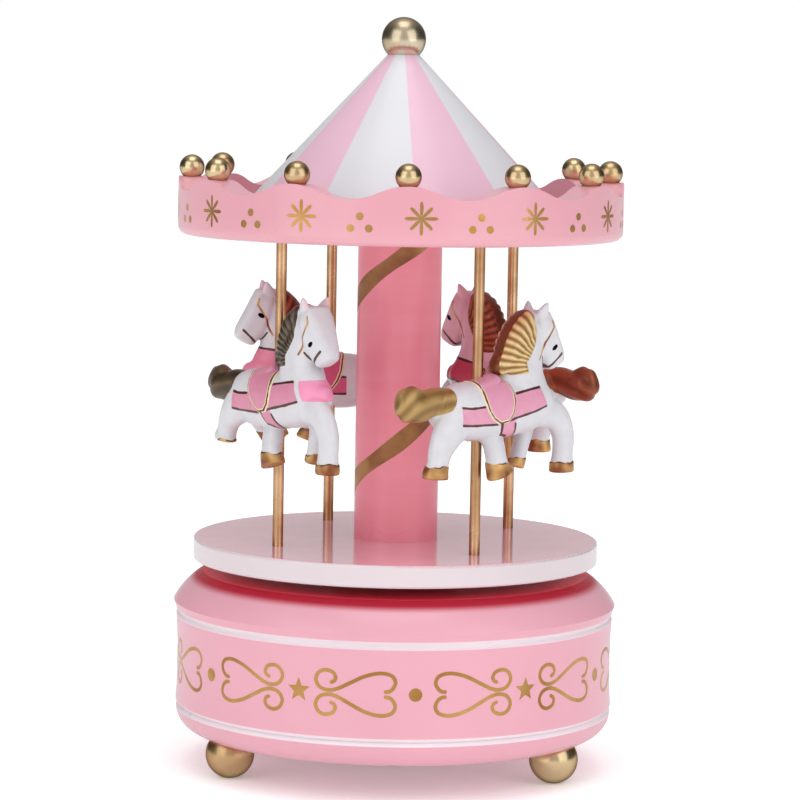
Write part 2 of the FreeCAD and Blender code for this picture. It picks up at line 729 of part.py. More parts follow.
def gear(module, teeth, width, bore_d, first_deg):
    # A spur gear about Z with straight flanks and one tooth centred on first_deg.
    pitch_r = module * teeth / 2
    flare = math.tan(math.radians(pressure_deg))
    root_r, tip_r = pitch_r - tooth_dedendum * module, pitch_r + tooth_addendum * module
    half = math.degrees(tooth_fill * math.pi / teeth)
    root_half = half + math.degrees(tooth_dedendum * module * flare / pitch_r)
    tip_half = half - math.degrees(tooth_addendum * module * flare / pitch_r)
    points = []
    for k in range(teeth):
        middle = first_deg + 360 * k / teeth
        points += [(*polar(root_r, middle - root_half), 0), (*polar(tip_r, middle - tip_half), 0),
                   (*polar(tip_r, middle + tip_half), 0), (*polar(root_r, middle + root_half), 0)]
    return prism(points, width).cut(rod(bore_d, -1, width + 1))


def make_cylinder_pinion():
    # A gap, not a tooth, points down at the crown teeth.
    half_pitch = 180 / crown_pinion_teeth
    bore_d = cylinder_arbor_d + 2 * glue_gap
    pinion = gear(crown_module, crown_pinion_teeth, crown_face, bore_d, 180 + half_pitch)
    return upright(pinion, crown_rim_r - crown_face, 0, axis_z)


def make_cylinder_gear():
    # A tooth points across at the second pinion.
    bore_d = cylinder_arbor_d + 2 * glue_gap
    wheel = gear(train_module, cylinder_gear_teeth, gear_t, bore_d, 90)
    return upright(wheel, cylinder_gear_x, 0, axis_z)


def make_second_arbor():
    half_pitch = 180 / second_pinion_teeth
    pinion = gear(train_module, second_pinion_teeth, gear_t, second_arbor_d / 2, -90 + half_pitch)
    pinion = upright(pinion, cylinder_gear_x, second_y, axis_z)
    return pinion.fuse(cross_rod(second_arbor_d, frame_x, arbor_end_x, second_y, axis_z)).removeSplitter()


def make_worm_wheel():
    bore_d = second_arbor_d + 2 * glue_gap
    wheel = gear(worm_module, worm_wheel_teeth, worm_wheel_t, bore_d, 90)
    return upright(wheel, worm_wheel_x, second_y, axis_z)


# Cylinder and comb

def make_cylinder():
    drum = cross_rod(cylinder_d, cylinder_x, cylinder_end_x, 0, axis_z)
    drum = drum.cut(cross_rod(cylinder_arbor_d + 2 * glue_gap, cylinder_x - 1, cylinder_end_x + 1,
                              0, axis_z))
    note_step = (cylinder_l - 2 * comb_edge) / note_count
    root = cylinder_d / 2 - pin_h
    pins = []
    for note in range(note_count):
        x = cylinder_x + comb_edge + (note + 0.5) * note_step
        for k in range(pins_per_note):
            # The tune's pins step round the drum unevenly.
            turn = math.radians(360 * k / pins_per_note + 137.5 * note + 11 * k * note)
            out = vec(0, math.cos(turn), math.sin(turn))
            pins.append(Part.makeCylinder(pin_d / 2, 2 * pin_h, vec(x, 0, axis_z) + out * root, out))
    return drum.multiFuse(pins)


def comb_screw_places():
    y = comb_back_y + comb_base_l / 2
    return [(cylinder_x + cylinder_l * share, y, comb_z + comb_t) for share in (0.15, 0.5, 0.85)]


def make_comb():
    comb = block(cylinder_x, cylinder_end_x, comb_back_y, comb_tip_y, comb_z, comb_z + comb_t)
    note_step = (cylinder_l - 2 * comb_edge) / note_count
    slits = []
    for k in range(note_count + 1):
        x = cylinder_x + comb_edge + k * note_step
        slits.append(block(x - comb_slit / 2, x + comb_slit / 2, comb_root_y, comb_tip_y + 1,
                           comb_z - 1, comb_z + comb_t + 1))
    edges = [block(cylinder_x - 1, cylinder_x + comb_edge, comb_root_y, comb_tip_y + 1, comb_z - 1,
                   comb_z + comb_t + 1),
             block(cylinder_end_x - comb_edge, cylinder_end_x + 1, comb_root_y,
                   comb_tip_y + 1, comb_z - 1, comb_z + comb_t + 1)]
    comb = comb.cut(Part.makeCompound(slits)).cut(Part.makeCompound(edges))
    return cut_screws(comb, small_screw, comb_screw_places())


# Bedplate, brackets and governor

def inner_bracket_screw_place():
    return inner_bracket_x + bracket_t + bracket_foot_l / 2, 0.0, bedplate_top_z + bracket_foot_t


def outer_bracket_screw_place():
    return arbor_end_x + bracket_foot_l / 2 - free_gap, 0.0, bedplate_top_z + bracket_foot_t


def frame_screw_places():
    z = bedplate_top_z + frame_plate_t
    x = frame_x + frame_plate_t + small_screw[0]
    return [(x, frame_low_y + small_screw[0], z), (x, frame_high_y - small_screw[0], z)]


def make_bedplate():
    # A plate that fills the drum on one side, with a land for the comb and a hollow under the large gear.
    plate = block(bedplate_back_x, bedplate_r, bedplate_low_y, bedplate_high_y, drum_z, bedplate_top_z)
    plate = plate.common(rod(2 * bedplate_r, drum_z, bedplate_top_z))
    hollow_d = 2 * (cylinder_gear_tip_r + gear_room)
    plate = plate.cut(cross_rod(hollow_d, cylinder_gear_x - free_gap, outer_bracket_x, 0, axis_z))
    land = block(cylinder_x, cylinder_end_x, comb_back_y, comb_root_y, drum_z, comb_z)
    plate = plate.fuse(land).removeSplitter()
    plate = plate.cut(rod(arbor_d + 2 * run_gap, drum_z - 1, bedplate_top_z + 1))
    plate = cut_screws(plate, plate_screw, movement_screw_places())
    plate = cut_screws(plate, small_screw, comb_screw_places() + frame_screw_places())
    plate = cut_screws(plate, small_screw, [inner_bracket_screw_place(), outer_bracket_screw_place()])
    x, y = click_place()
    return cut_screws(plate, small_screw, [(x, y, bedplate_top_z + click_t)])


def make_inner_bracket():
    half = bracket_w / 2
    x0, x1 = inner_bracket_x, inner_bracket_x + bracket_t
    plate = block(x0, x1, -half, half, bedplate_top_z, axis_z + half)
    foot = block(x0, x1 + bracket_foot_l, -half, half, bedplate_top_z, bedplate_top_z + bracket_foot_t)
    bracket = plate.fuse(foot).removeSplitter()
    bracket = bracket.cut(cross_rod(cylinder_arbor_d + 2 * run_gap, x0 - 1, x1 + 1, 0, axis_z))
    return cut_screws(bracket, small_screw, [inner_bracket_screw_place()])


def make_outer_bracket():
    half = bracket_w / 2
    x0, x1 = outer_bracket_x, arbor_end_x
    high_y = second_y + bracket_w / 4
    plate = block(x0, x1, -half, high_y, bedplate_top_z, axis_z + half)
    foot = block(x0, x1 + bracket_foot_l - free_gap, -half, half, bedplate_top_z,
                 bedplate_top_z + bracket_foot_t)
    foot = foot.common(rod(2 * bedplate_r, bedplate_top_z, bedplate_top_z + bracket_foot_t))
    bracket = plate.fuse(foot).removeSplitter()
    for y, diameter in ((0, cylinder_arbor_d), (second_y, second_arbor_d)):
        bracket = bracket.cut(cross_rod(diameter + 2 * run_gap, x0 - 1, x1 + 1, y, axis_z))
    return cut_screws(bracket, small_screw, [outer_bracket_screw_place()])


def make_governor_frame():
    # A plate on the bedplate, a post that carries the second arbor, and an arm over the worm.
    post_x = frame_x + frame_plate_t
    side_x = outer_bracket_x - free_gap
    arm_top_z = frame_arm_z + frame_plate_t
    plate = block(frame_x, side_x, frame_low_y, frame_high_y, bedplate_top_z, bedplate_top_z + frame_plate_t)
    post = block(frame_x, post_x, frame_low_y, frame_high_y, bedplate_top_z, arm_top_z)
    arm = block(frame_x, side_x, worm_y - frame_margin, frame_high_y, frame_arm_z, arm_top_z)
    frame = plate.multiFuse([post, arm]).removeSplitter()
    frame = frame.cut(cross_rod(second_arbor_d + 2 * run_gap, frame_x - 1, post_x + 1, second_y, axis_z))
    frame = frame.cut(rod(worm_shaft_d + 2 * run_gap, bedplate_top_z, arm_top_z + 1, worm_x, worm_y))
    return cut_screws(frame, small_screw, frame_screw_places())


def make_worm():
    # One helical thread on a shaft. Beside the worm wheel a gap, not the thread, is level with its tooth.
    root_r = worm_pitch_d / 2 - tooth_dedendum * worm_module
    tip_r = worm_pitch_d / 2 + tooth_addendum * worm_module
    flare = math.tan(math.radians(pressure_deg))
    half = tooth_fill * worm_lead / 2
    root_half = half + tooth_dedendum * worm_module * flare
    tip_half = half - tooth_addendum * worm_module * flare
    inside_r = root_r - end_play
    turns = math.floor(worm_l / worm_lead) - 1
    helix = Part.makeHelix(worm_lead, turns * worm_lead, root_r)
    corners = [vec(inside_r, 0, -root_half), vec(tip_r, 0, -tip_half), vec(tip_r, 0, tip_half),
               vec(inside_r, 0, root_half)]
    profile = Part.makePolygon(corners + corners[:1])
    thread = Part.Wire(helix.Edges).makePipeShell([profile], True, True)
    # The helix starts on the +X side, a quarter turn past the side that faces the wheel.
    start_z = axis_z - (turns / 2 + 0.5) * worm_lead
    thread.translate(vec(0, 0, start_z + worm_lead / 4 + (turns % 2) * worm_lead / 2))
    core = rod(2 * root_r, worm_z, worm_z + worm_l)
    shaft = rod(worm_shaft_d, bedplate_top_z + end_play, frame_arm_z + frame_plate_t)
    worm = core.fuse(thread).fuse(shaft)
    worm.translate(vec(worm_x, worm_y, 0))
    return worm


def make_fan():
    blades = block(-fan_d / 2, fan_d / 2, -fan_t / 2, fan_t / 2, fan_z, fan_z + fan_h)
    fan = blades.fuse(rod(2 * worm_shaft_d, fan_z, fan_z + fan_h)).removeSplitter()
    fan = fan.cut(rod(worm_shaft_d + 2 * glue_gap, fan_z - 1, fan_z + fan_h + 1))
    fan.translate(vec(worm_x, worm_y, 0))
    return fan


def build():
    os.makedirs("parts", exist_ok=True)

    for name, foot in zip(foot_names, make_feet()):
        save("foot_" + name, foot)
    save("bottom_board", make_board())
    save("base_drum", make_drum())
    save("foot_screws", screws(foot_screw, foot_screw_places()))
    save("board_screws", screws(wood_screw, board_screw_places(), up=True))

    save("spindle_bush", make_bush())
    save("thrust_washer", make_washer())
    save("hub_plate", make_hub())
    save("hub_screws", screws(hub_screw, hub_screw_places(), up=True))
    save("drive_spindle", make_spindle())

    save("platform", make_platform())
    save("column", make_column())
    forms = {gathered: make_horse_form(gathered) for gathered in (False, True)}
    for name, degrees in pole_deg.items():
        save("pole_" + name, make_pole(degrees))
        save("horse_" + name, make_horse(forms[name in horse_gathered], name))
    save("canopy_rim", make_rim())
    save("rim_balls", Part.makeCompound(make_rim_balls()))
    save("canopy_cone", make_cone())
    save("finial_ball", ball(finial_d, 0, 0, finial_z))

    save("bedplate", make_bedplate())
    save("movement_screws", screws(plate_screw, movement_screw_places()))
    save("winding_arbor", make_arbor())
    save("wind_up_key", make_key())
    save("ratchet_wheel", make_ratchet())
    save("click", make_click())
    click_x, click_y = click_place()
    save("click_screw", screw(small_screw, click_x, click_y, bedplate_top_z + click_t))
    save("spring_barrel", make_barrel())
    save("barrel_lid", make_lid())
    save("mainspring", make_mainspring())

    save("pinned_cylinder", make_cylinder())
    save("cylinder_arbor", cross_rod(cylinder_arbor_d, crown_rim_r - crown_face, arbor_end_x, 0, axis_z))
    save("cylinder_pinion", make_cylinder_pinion())
    save("cylinder_gear", make_cylinder_gear())
    save("inner_bracket", make_inner_bracket())
    save("outer_bracket", make_outer_bracket())
    save("bracket_screws", screws(small_screw, [inner_bracket_screw_place(), outer_bracket_screw_place()]))
    save("comb", make_comb())
    save("comb_screws", screws(small_screw, comb_screw_places()))

    save("second_arbor", make_second_arbor())
    save("worm_wheel", make_worm_wheel())
    save("governor_frame", make_governor_frame())
    save("governor_screws", screws(small_screw, frame_screw_places()))
    save("governor_worm", make_worm())
    save("governor_fan", make_fan())


build()
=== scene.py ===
import math

import bpy
import numpy as np
from mathutils import Matrix, Vector, kdtree


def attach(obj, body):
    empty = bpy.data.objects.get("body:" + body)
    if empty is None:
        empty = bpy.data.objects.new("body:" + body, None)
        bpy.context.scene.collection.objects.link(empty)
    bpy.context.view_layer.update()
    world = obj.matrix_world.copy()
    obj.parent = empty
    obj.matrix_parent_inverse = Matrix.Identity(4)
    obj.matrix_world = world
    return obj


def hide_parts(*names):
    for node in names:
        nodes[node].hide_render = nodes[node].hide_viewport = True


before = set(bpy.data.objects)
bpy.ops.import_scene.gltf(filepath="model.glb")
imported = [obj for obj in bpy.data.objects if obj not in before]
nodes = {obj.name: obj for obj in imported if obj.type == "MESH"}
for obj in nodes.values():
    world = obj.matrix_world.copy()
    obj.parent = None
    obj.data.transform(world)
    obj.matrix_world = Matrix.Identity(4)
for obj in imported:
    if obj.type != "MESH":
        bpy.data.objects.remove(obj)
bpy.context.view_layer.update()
mm = 0.001
print("frame loaded:", len(nodes), "nodes")


def linear(code):
    # sRGB hex to the linear colour that the shaders work in
    parts = [int(code[k:k + 2], 16) / 255 for k in (1, 3, 5)]
    return [c / 12.92 if c <= 0.04045 else ((c + 0.055) / 1.055) ** 2.4 for c in parts] + [1.0]


def addNode(tree, kind, settings={}, links={}):
    # a kind without the word Node is a shader node
    # settings are the node's own options by name, or input values by socket name or number
    node = tree.nodes.new(kind if "Node" in kind else "ShaderNode" + kind)
    for key, value in settings.items():
        if isinstance(key, str) and hasattr(node, key):
            setattr(node, key, value)
    for key, value in settings.items():
        if not (isinstance(key, str) and hasattr(node, key)):
            node.inputs[key].default_value = value
    for key, socket in links.items():
        tree.links.new(socket, node.inputs[key])
    return node


def startMaterial(name, settings):
    material = bpy.data.materials.new(name)
    material.use_nodes = True
    tree = material.node_tree
    shader = tree.nodes["Principled BSDF"]
    for key, value in settings.items():
        shader.inputs[key].default_value = value
    place = addNode(tree, "TexCoord").outputs["Object"]
    return material, tree, shader, place


def perMetre(size):
    # texture scale for a pattern whose cells are this many millimetres
    return 1000.0 / size


# Sprayed lacquer on turned beech: a glossy coat over flat colour, with the faint ripple that spraying leaves.
lacquer = {"ripple": 2.6, "rippleDepth": 0.012, "cloud": 38.0, "rough": 0.3, "roughSpread": 0.08}
glossCoat = {"Coat Weight": 0.35, "Coat Roughness": 0.12, "IOR": 1.5}


def finishLacquer(tree, shader, place, colour, shade=0.94):
    d = lacquer
    cloud = addNode(tree, "TexNoise", {"Scale": perMetre(d["cloud"]), "Detail": 3.0}, {"Vector": place})
    tone = addNode(tree, "MapRange", {"From Min": 0.3, "From Max": 0.7, "To Min": shade, "To Max": 1.0},
                   {"Value": cloud.outputs["Fac"]})
    tinted = addNode(tree, "Mix", {"data_type": "RGBA", "blend_type": "MULTIPLY", 0: 1.0},
                     {6: colour, 7: tone.outputs["Result"]})
    tree.links.new(tinted.outputs[2], shader.inputs["Base Color"])
    rough = addNode(tree, "MapRange", {"To Min": d["rough"] - d["roughSpread"],
                                       "To Max": d["rough"] + d["roughSpread"]},
                    {"Value": cloud.outputs["Fac"]})
    tree.links.new(rough.outputs["Result"], shader.inputs["Roughness"])
    ripple = addNode(tree, "TexNoise", {"Scale": perMetre(d["ripple"]), "Detail": 2.0}, {"Vector": place})
    bump = addNode(tree, "Bump", {"Strength": 0.25, "Distance": d["rippleDepth"] * mm},
                   {"Height": ripple.outputs["Fac"]})
    tree.links.new(bump.outputs["Normal"], shader.inputs["Normal"])


def makeBaseLacquer():
    # Pink lacquer with a white line brushed into each of the two turned grooves.
    # The top carries painted shade: a deeper red where the platform's shadow and dark reflection fall, duller
    # because its gloss is nearly taken off there.
    grooves = {"low": 14.87, "high": 37.27, "half": 0.9, "soft": 0.12}
    shade = {"edge": (44.3, 45.9), "flat": (46.9, 46.96), "dull": 0.04}
    material, tree, shader, place = startMaterial("pinkLacquerWhiteGroovesPaintedShade", glossCoat)
    height = addNode(tree, "SeparateXYZ", {}, {0: place}).outputs["Z"]
    masks = []
    for level in (grooves["low"], grooves["high"]):
        away = addNode(tree, "Math", {"operation": "SUBTRACT", 1: level * mm}, {0: height})
        away = addNode(tree, "Math", {"operation": "ABSOLUTE"}, {0: away.outputs[0]})
        mask = addNode(tree, "MapRange", {"From Min": (grooves["half"] - grooves["soft"]) * mm,
                                          "From Max": (grooves["half"] + grooves["soft"]) * mm,
                                          "To Min": 1.0, "To Max": 0.0}, {"Value": away.outputs[0]})
        masks.append(mask.outputs["Result"])
    either = addNode(tree, "Math", {"operation": "MAXIMUM"}, {0: masks[0], 1: masks[1]})
    colour = addNode(tree, "Mix", {"data_type": "RGBA", 6: linear("#DEA0AF"), 7: linear("#ECDFE5")},
                     {0: either.outputs[0]})
    # both reds are painted shade from the platform: the darker one from the shoulder up, the brighter one on
    # the flat top
    for level, red in (("edge", "#B02A3C"), ("flat", "#F04A60")):
        low, high = shade[level]
        above = addNode(tree, "MapRange", {"interpolation_type": "SMOOTHSTEP", "From Min": low * mm,
                                           "From Max": high * mm}, {"Value": height})
        colour = addNode(tree, "Mix", {"data_type": "RGBA", 7: linear(red)},
                         {0: above.outputs["Result"], 6: colour.outputs[2]})
    low, high = shade["edge"]
    # where the painted shade starts, the coat and the specular gloss fade nearly away
    for socket in ("Coat Weight", "Specular IOR Level"):
        dull = addNode(tree, "MapRange", {"From Min": low * mm, "From Max": high * mm,
                                          "To Min": shader.inputs[socket].default_value,
                                          "To Max": shade["dull"]}, {"Value": height})
        tree.links.new(dull.outputs["Result"], shader.inputs[socket])
    finishLacquer(tree, shader, place, colour.outputs[2])
    return material


def makeRimLacquer():
    # The same pink on the canopy's rim, a touch paler towards the rounded lower edge.
    fadeHeights = {"low": 128.0, "high": 134.0}
    material, tree, shader, place = startMaterial("pinkLacquerRim", glossCoat)
    height = addNode(tree, "SeparateXYZ", {}, {0: place}).outputs["Z"]
    rise = addNode(tree, "MapRange", {"From Min": fadeHeights["low"] * mm, "From Max": fadeHeights["high"] * mm},
                   {"Value": height})
    colour = addNode(tree, "Mix", {"data_type": "RGBA", 6: linear("#DCA0AB"), 7: linear("#D798A4")},
                     {0: rise.outputs["Result"]})
    finishLacquer(tree, shader, place, colour.outputs[2])
    return material


def makeColumnLacquer():
    # Deeper rose lacquer on the turned column, brushed, so faint rings run round it.
    brushed = {"ring": 3.0, "stretch": 0.12}
    material, tree, shader, place = startMaterial("roseLacquerBrushed",
                                                  {"Coat Weight": 0.25, "Coat Roughness": 0.4})
    flat = addNode(tree, "Mapping", {"Scale": (brushed["stretch"], brushed["stretch"], 1.0)},
                   {"Vector": place})
    rings = addNode(tree, "TexNoise", {"Scale": perMetre(brushed["ring"]), "Detail": 3.0},
                    {"Vector": flat.outputs["Vector"]})
    tone = addNode(tree, "MapRange", {"From Min": 0.1, "From Max": 0.9}, {"Value": rings.outputs["Fac"]})
    colour = addNode(tree, "Mix", {"data_type": "RGBA", 6: linear("#F18A9C"), 7: linear("#F695A6")},
                     {0: tone.outputs["Result"]})
    finishLacquer(tree, shader, place, colour.outputs[2])
    return material


def makePlatformLacquer():
    # Polished pale pink disc: the top mirrors the poles, and the edge is almost white.
    # Dust specks sit in the coat.
    disc = {"edge": 48.55, "soft": 0.15, "speck": 1.6, "patch": 9.0}
    material, tree, shader, place = startMaterial("palePinkPolishedLacquer",
                                                  {"Coat Weight": 0.6, "Coat Roughness": 0.05, "IOR": 1.5})
    parts = addNode(tree, "SeparateXYZ", {}, {0: place})
    ground = addNode(tree, "CombineXYZ", {}, {0: parts.outputs["X"], 1: parts.outputs["Y"]})
    radius = addNode(tree, "VectorMath", {"operation": "LENGTH"}, {0: ground.outputs[0]})
    edge = addNode(tree, "MapRange", {"From Min": (disc["edge"] - disc["soft"]) * mm,
                                      "From Max": (disc["edge"] + disc["soft"]) * mm},
                   {"Value": radius.outputs["Value"]})
    specks = addNode(tree, "TexVoronoi", {"Scale": perMetre(disc["speck"])}, {"Vector": place})
    spot = addNode(tree, "MapRange", {"From Min": 0.05, "From Max": 0.09, "To Min": 1.0, "To Max": 0.0},
                   {"Value": specks.outputs["Distance"]})
    patches = addNode(tree, "TexNoise", {"Scale": perMetre(disc["patch"]), "Detail": 1.0}, {"Vector": place})
    some = addNode(tree, "MapRange", {"From Min": 0.6, "From Max": 0.66}, {"Value": patches.outputs["Fac"]})
    dust = addNode(tree, "Math", {"operation": "MULTIPLY"},
                   {0: spot.outputs["Result"], 1: some.outputs["Result"]})
    top = addNode(tree, "Mix", {"data_type": "RGBA", 6: linear("#F0B7C3"), 7: linear("#C48493")},
                  {0: dust.outputs[0]})
    colour = addNode(tree, "Mix", {"data_type": "RGBA", 7: linear("#D4C8CD")},
                     {0: edge.outputs["Result"], 6: top.outputs[2]})
    finishLacquer(tree, shader, place, colour.outputs[2])
    rough = addNode(tree, "MapRange", {"To Min": 0.1, "To Max": 0.2}, {"Value": patches.outputs["Fac"]})
    tree.links.new(rough.outputs["Result"], shader.inputs["Roughness"])
    return material


def makeConeLacquer():
    # Ten stripes sprayed between masking tape: pink and white in turn, 36 degrees each.
    # A hair of overspray softens their edges.
    stripes = {"pairs": 5, "first": 5.3, "soft": 0.036}
    material, tree, shader, place = startMaterial("stripedConeLacquer",
                                                  {"Coat Weight": 0.25, "Coat Roughness": 0.2, "IOR": 1.5})
    parts = addNode(tree, "SeparateXYZ", {}, {0: place})
    back = addNode(tree, "Math", {"operation": "MULTIPLY", 1: -1.0}, {0: parts.outputs["Y"]})
    angle = addNode(tree, "Math", {"operation": "ARCTAN2"}, {0: parts.outputs["X"], 1: back.outputs[0]})
    turn = addNode(tree, "Math", {"operation": "MULTIPLY_ADD", 1: stripes["pairs"] / (2 * math.pi),
                                  2: 2 - stripes["pairs"] * stripes["first"] / 360}, {0: angle.outputs[0]})
    saw = addNode(tree, "Math", {"operation": "FRACT"}, {0: turn.outputs[0]})
    swing = addNode(tree, "Math", {"operation": "MULTIPLY", 1: 2 * math.pi}, {0: saw.outputs[0]})
    wave = addNode(tree, "Math", {"operation": "SINE"}, {0: swing.outputs[0]})
    pick = addNode(tree, "MapRange", {"From Min": -stripes["soft"], "From Max": stripes["soft"]},
                   {"Value": wave.outputs[0]})
    colour = addNode(tree, "Mix", {"data_type": "RGBA", 6: linear("#CFCED3"), 7: linear("#DAB1C3")},
                     {0: pick.outputs["Result"]})
    finishLacquer(tree, shader, place, colour.outputs[2], 0.97)
    return material


def makeMetalPaint(name, light, dark, rough, cell, metallic=1.0, coat=0.0, edge="#FFFFFF"):
    # Metal-flake paint or drawn metal: a clear sheen broken by slightly darker, rougher patches.
    settings = {"Metallic": metallic, "Specular Tint": linear(edge), "Coat Weight": coat,
                "Coat Roughness": 0.08}
    material, tree, shader, place = startMaterial(name, settings)
    patches = addNode(tree, "TexNoise", {"Scale": perMetre(cell), "Detail": 4.0}, {"Vector": place})
    spread = addNode(tree, "MapRange", {"From Min": 0.35, "From Max": 0.65},
                     {"Value": patches.outputs["Fac"]})
    colour = addNode(tree, "Mix", {"data_type": "RGBA", 6: linear(dark), 7: linear(light)},
                     {0: spread.outputs["Result"]})
    tree.links.new(colour.outputs[2], shader.inputs["Base Color"])
    finish = addNode(tree, "MapRange", {"To Min": rough * 1.2, "To Max": rough * 0.8},
                     {"Value": spread.outputs["Result"]})
    tree.links.new(finish.outputs["Result"], shader.inputs["Roughness"])
    flake = addNode(tree, "TexNoise", {"Scale": perMetre(cell * 0.12), "Detail": 2.0}, {"Vector": place})
    bump = addNode(tree, "Bump", {"Strength": 0.12, "Distance": 0.01 * mm}, {"Height": flake.outputs["Fac"]})
    tree.links.new(bump.outputs["Normal"], shader.inputs["Normal"])
    return material


goldBalls = makeMetalPaint("goldFlakeLacquer", "#E0D2B8", "#D0BC9A", 0.28, 14.0, 1.0, 0.4, "#3E2E1C")
warmBalls = makeMetalPaint("warmGoldFlakeLacquer", "#E6CFA2", "#D2AC7C", 0.28, 14.0, 1.0, 0.4, "#5A3418")
poleGold = makeMetalPaint("copperGoldPlatedSteel", "#DCB28A", "#BA8D64", 0.3, 9.0, 1.0, 0.0, "#7A5030")
ribbonBronze = makeMetalPaint("brushedBronzePaint", "#B4834F", "#8C5A3C", 0.42, 9.0, 0.5)
printGold = makeMetalPaint("goldFoilPrint", "#D3A868", "#B28244", 0.27, 12.0)
brass = makeMetalPaint("turnedBrass", "#D8B25E", "#C29A48", 0.28, 6.0)
steel = makeMetalPaint("brightSteel", "#C9CCD0", "#A9ADB2", 0.3, 5.0)
castZinc = makeMetalPaint("castZinc", "#B4B6BA", "#96989C", 0.5, 4.0)
nylon = makeMetalPaint("mouldedNylon", "#F0EFEA", "#E4E2DA", 0.45, 3.0, 0.0)
nodeFinishes = [
    (makeBaseLacquer(), ["base_drum", "bottom_board"]),
    (makeRimLacquer(), ["canopy_rim"]),
    (makeColumnLacquer(), ["column"]),
    (makePlatformLacquer(), ["platform"]),
    (makeConeLacquer(), ["canopy_cone"]),
    (goldBalls, ["finial_ball"]),
    (warmBalls, ["foot_back", "foot_front_left", "foot_front_right", "rim_balls"]),
    (poleGold, ["pole_front_left", "pole_front_right", "pole_back_right", "pole_back_left"]),
    (castZinc, ["bedplate", "governor_frame", "hub_plate"]),
    (nylon, ["thrust_washer", "worm_wheel", "governor_fan"]),
    (steel, ["foot_screws", "board_screws", "movement_screws", "click", "click_screw", "bracket_screws",
             "comb", "comb_screws", "governor_screws", "wind_up_key", "winding_arbor", "ratchet_wheel",
             "hub_screws", "drive_spindle", "mainspring", "cylinder_arbor", "second_arbor", "governor_worm"]),
    (brass, ["spindle_bush", "inner_bracket", "outer_bracket", "spring_barrel", "barrel_lid",
             "pinned_cylinder", "cylinder_pinion", "cylinder_gear"])]
for material, names in nodeFinishes:
    for name in names:
        for slot in nodes[name].material_slots:
            slot.material = material
print("finishes set on the frame's nodes")


def spline(stations, steps):
    # a smooth run through every station
    p = np.array(stations, float)
    p = np.vstack([2 * p[0] - p[1], p, 2 * p[-1] - p[-2]])
    out = []
    for a, b, c, d in zip(p[:-3], p[1:-2], p[2:-1], p[3:]):
        for t in np.linspace(0, 1, steps, endpoint=False):
            out.append(0.5 * (2 * b + (c - a) * t + (2 * a - 5 * b + 4 * c - d) * t * t
                              + (3 * b - a - 3 * c + d) * t ** 3))
    out.append(p[-2])
    return np.array(out)


def linkObject(name, data):
    piece = bpy.data.objects.new(name, data)
    bpy.context.scene.collection.objects.link(piece)
    return piece


def newObject(name, verts, faces):
    mesh = bpy.data.meshes.new(name)
    mesh.from_pydata([tuple(v) for v in verts], [], faces)
    mesh.update()
    return linkObject(name, mesh)


def evaluatedMesh(source):
    # the modifiers' result as a plain mesh, and the source is dropped
    mesh = bpy.data.meshes.new_from_object(source.evaluated_get(bpy.context.evaluated_depsgraph_get()))
    bpy.data.objects.remove(source)
    return mesh


class Sheet:
    # flat printed shapes as thin closed tiles: along, up and off the surface, in millimetres
    def __init__(self, d):
        self.low, self.high = -d["sunk"], d["proud"]
        self.verts, self.faces = [], []

    def tile(self, points, faces, border):
        start, count = len(self.verts), len(points)
        self.verts += [(x, y, self.high) for x, y in points] + [(x, y, self.low) for x, y in points]
        self.faces += [[start + k for k in face] for face in faces]
        self.faces += [[start + count + k for k in reversed(face)] for face in faces]
        for a, b in zip(border, border[1:] + border[:1]):
            self.faces.append([start + b, start + a, start + count + a, start + count + b])

    def fan(self, centre, rim):
        # a shape seen whole from its centre
        count = len(rim)
        faces = [[count, k, (k + 1) % count] for k in range(count)]
        self.tile(list(rim) + [centre], faces, list(range(count)))

    def strip(self, right, left):
        # a band between two lines of as many points
        count = len(right)
        faces = [[k, k + 1, count + k + 1, count + k] for k in range(count - 1)]
        self.tile(right + left, faces, list(range(count)) + list(range(2 * count - 1, count - 1, -1)))

    def stroke(self, line, width):
        # a line of even width with round ends
        line = np.array(line)
        run = np.gradient(line, axis=0)
        run /= np.linalg.norm(run, axis=1)[:, None]
        across = np.stack([-run[:, 1], run[:, 0]], 1) * width / 2
        left, right = line + across, line - across
        ends = []
        for point, way, side in ((line[-1], run[-1], across[-1]), (line[0], -run[0], -across[0])):
            ends.append([point + side * math.cos(a) + way * width / 2 * math.sin(a)
                         for a in np.radians((30, 60, 90, 120, 150))])
        count = len(line)
        points = [tuple(p) for p in left] + [tuple(p) for p in right]
        points += [tuple(p) for p in ends[0]] + [tuple(p) for p in ends[1]]
        faces = [[k, count + k, count + k + 1, k + 1] for k in range(count - 1)]
        tip, tail = list(range(2 * count, 2 * count + 5)), list(range(2 * count + 5, 2 * count + 10))
        faces.append([count - 1, 2 * count - 1] + tip[::-1])
        faces.append([count, 0] + tail[::-1])
        border = list(range(count, 2 * count)) + tip[::-1] + list(range(count - 1, -1, -1)) + tail[::-1]
        self.tile(points, faces, border)


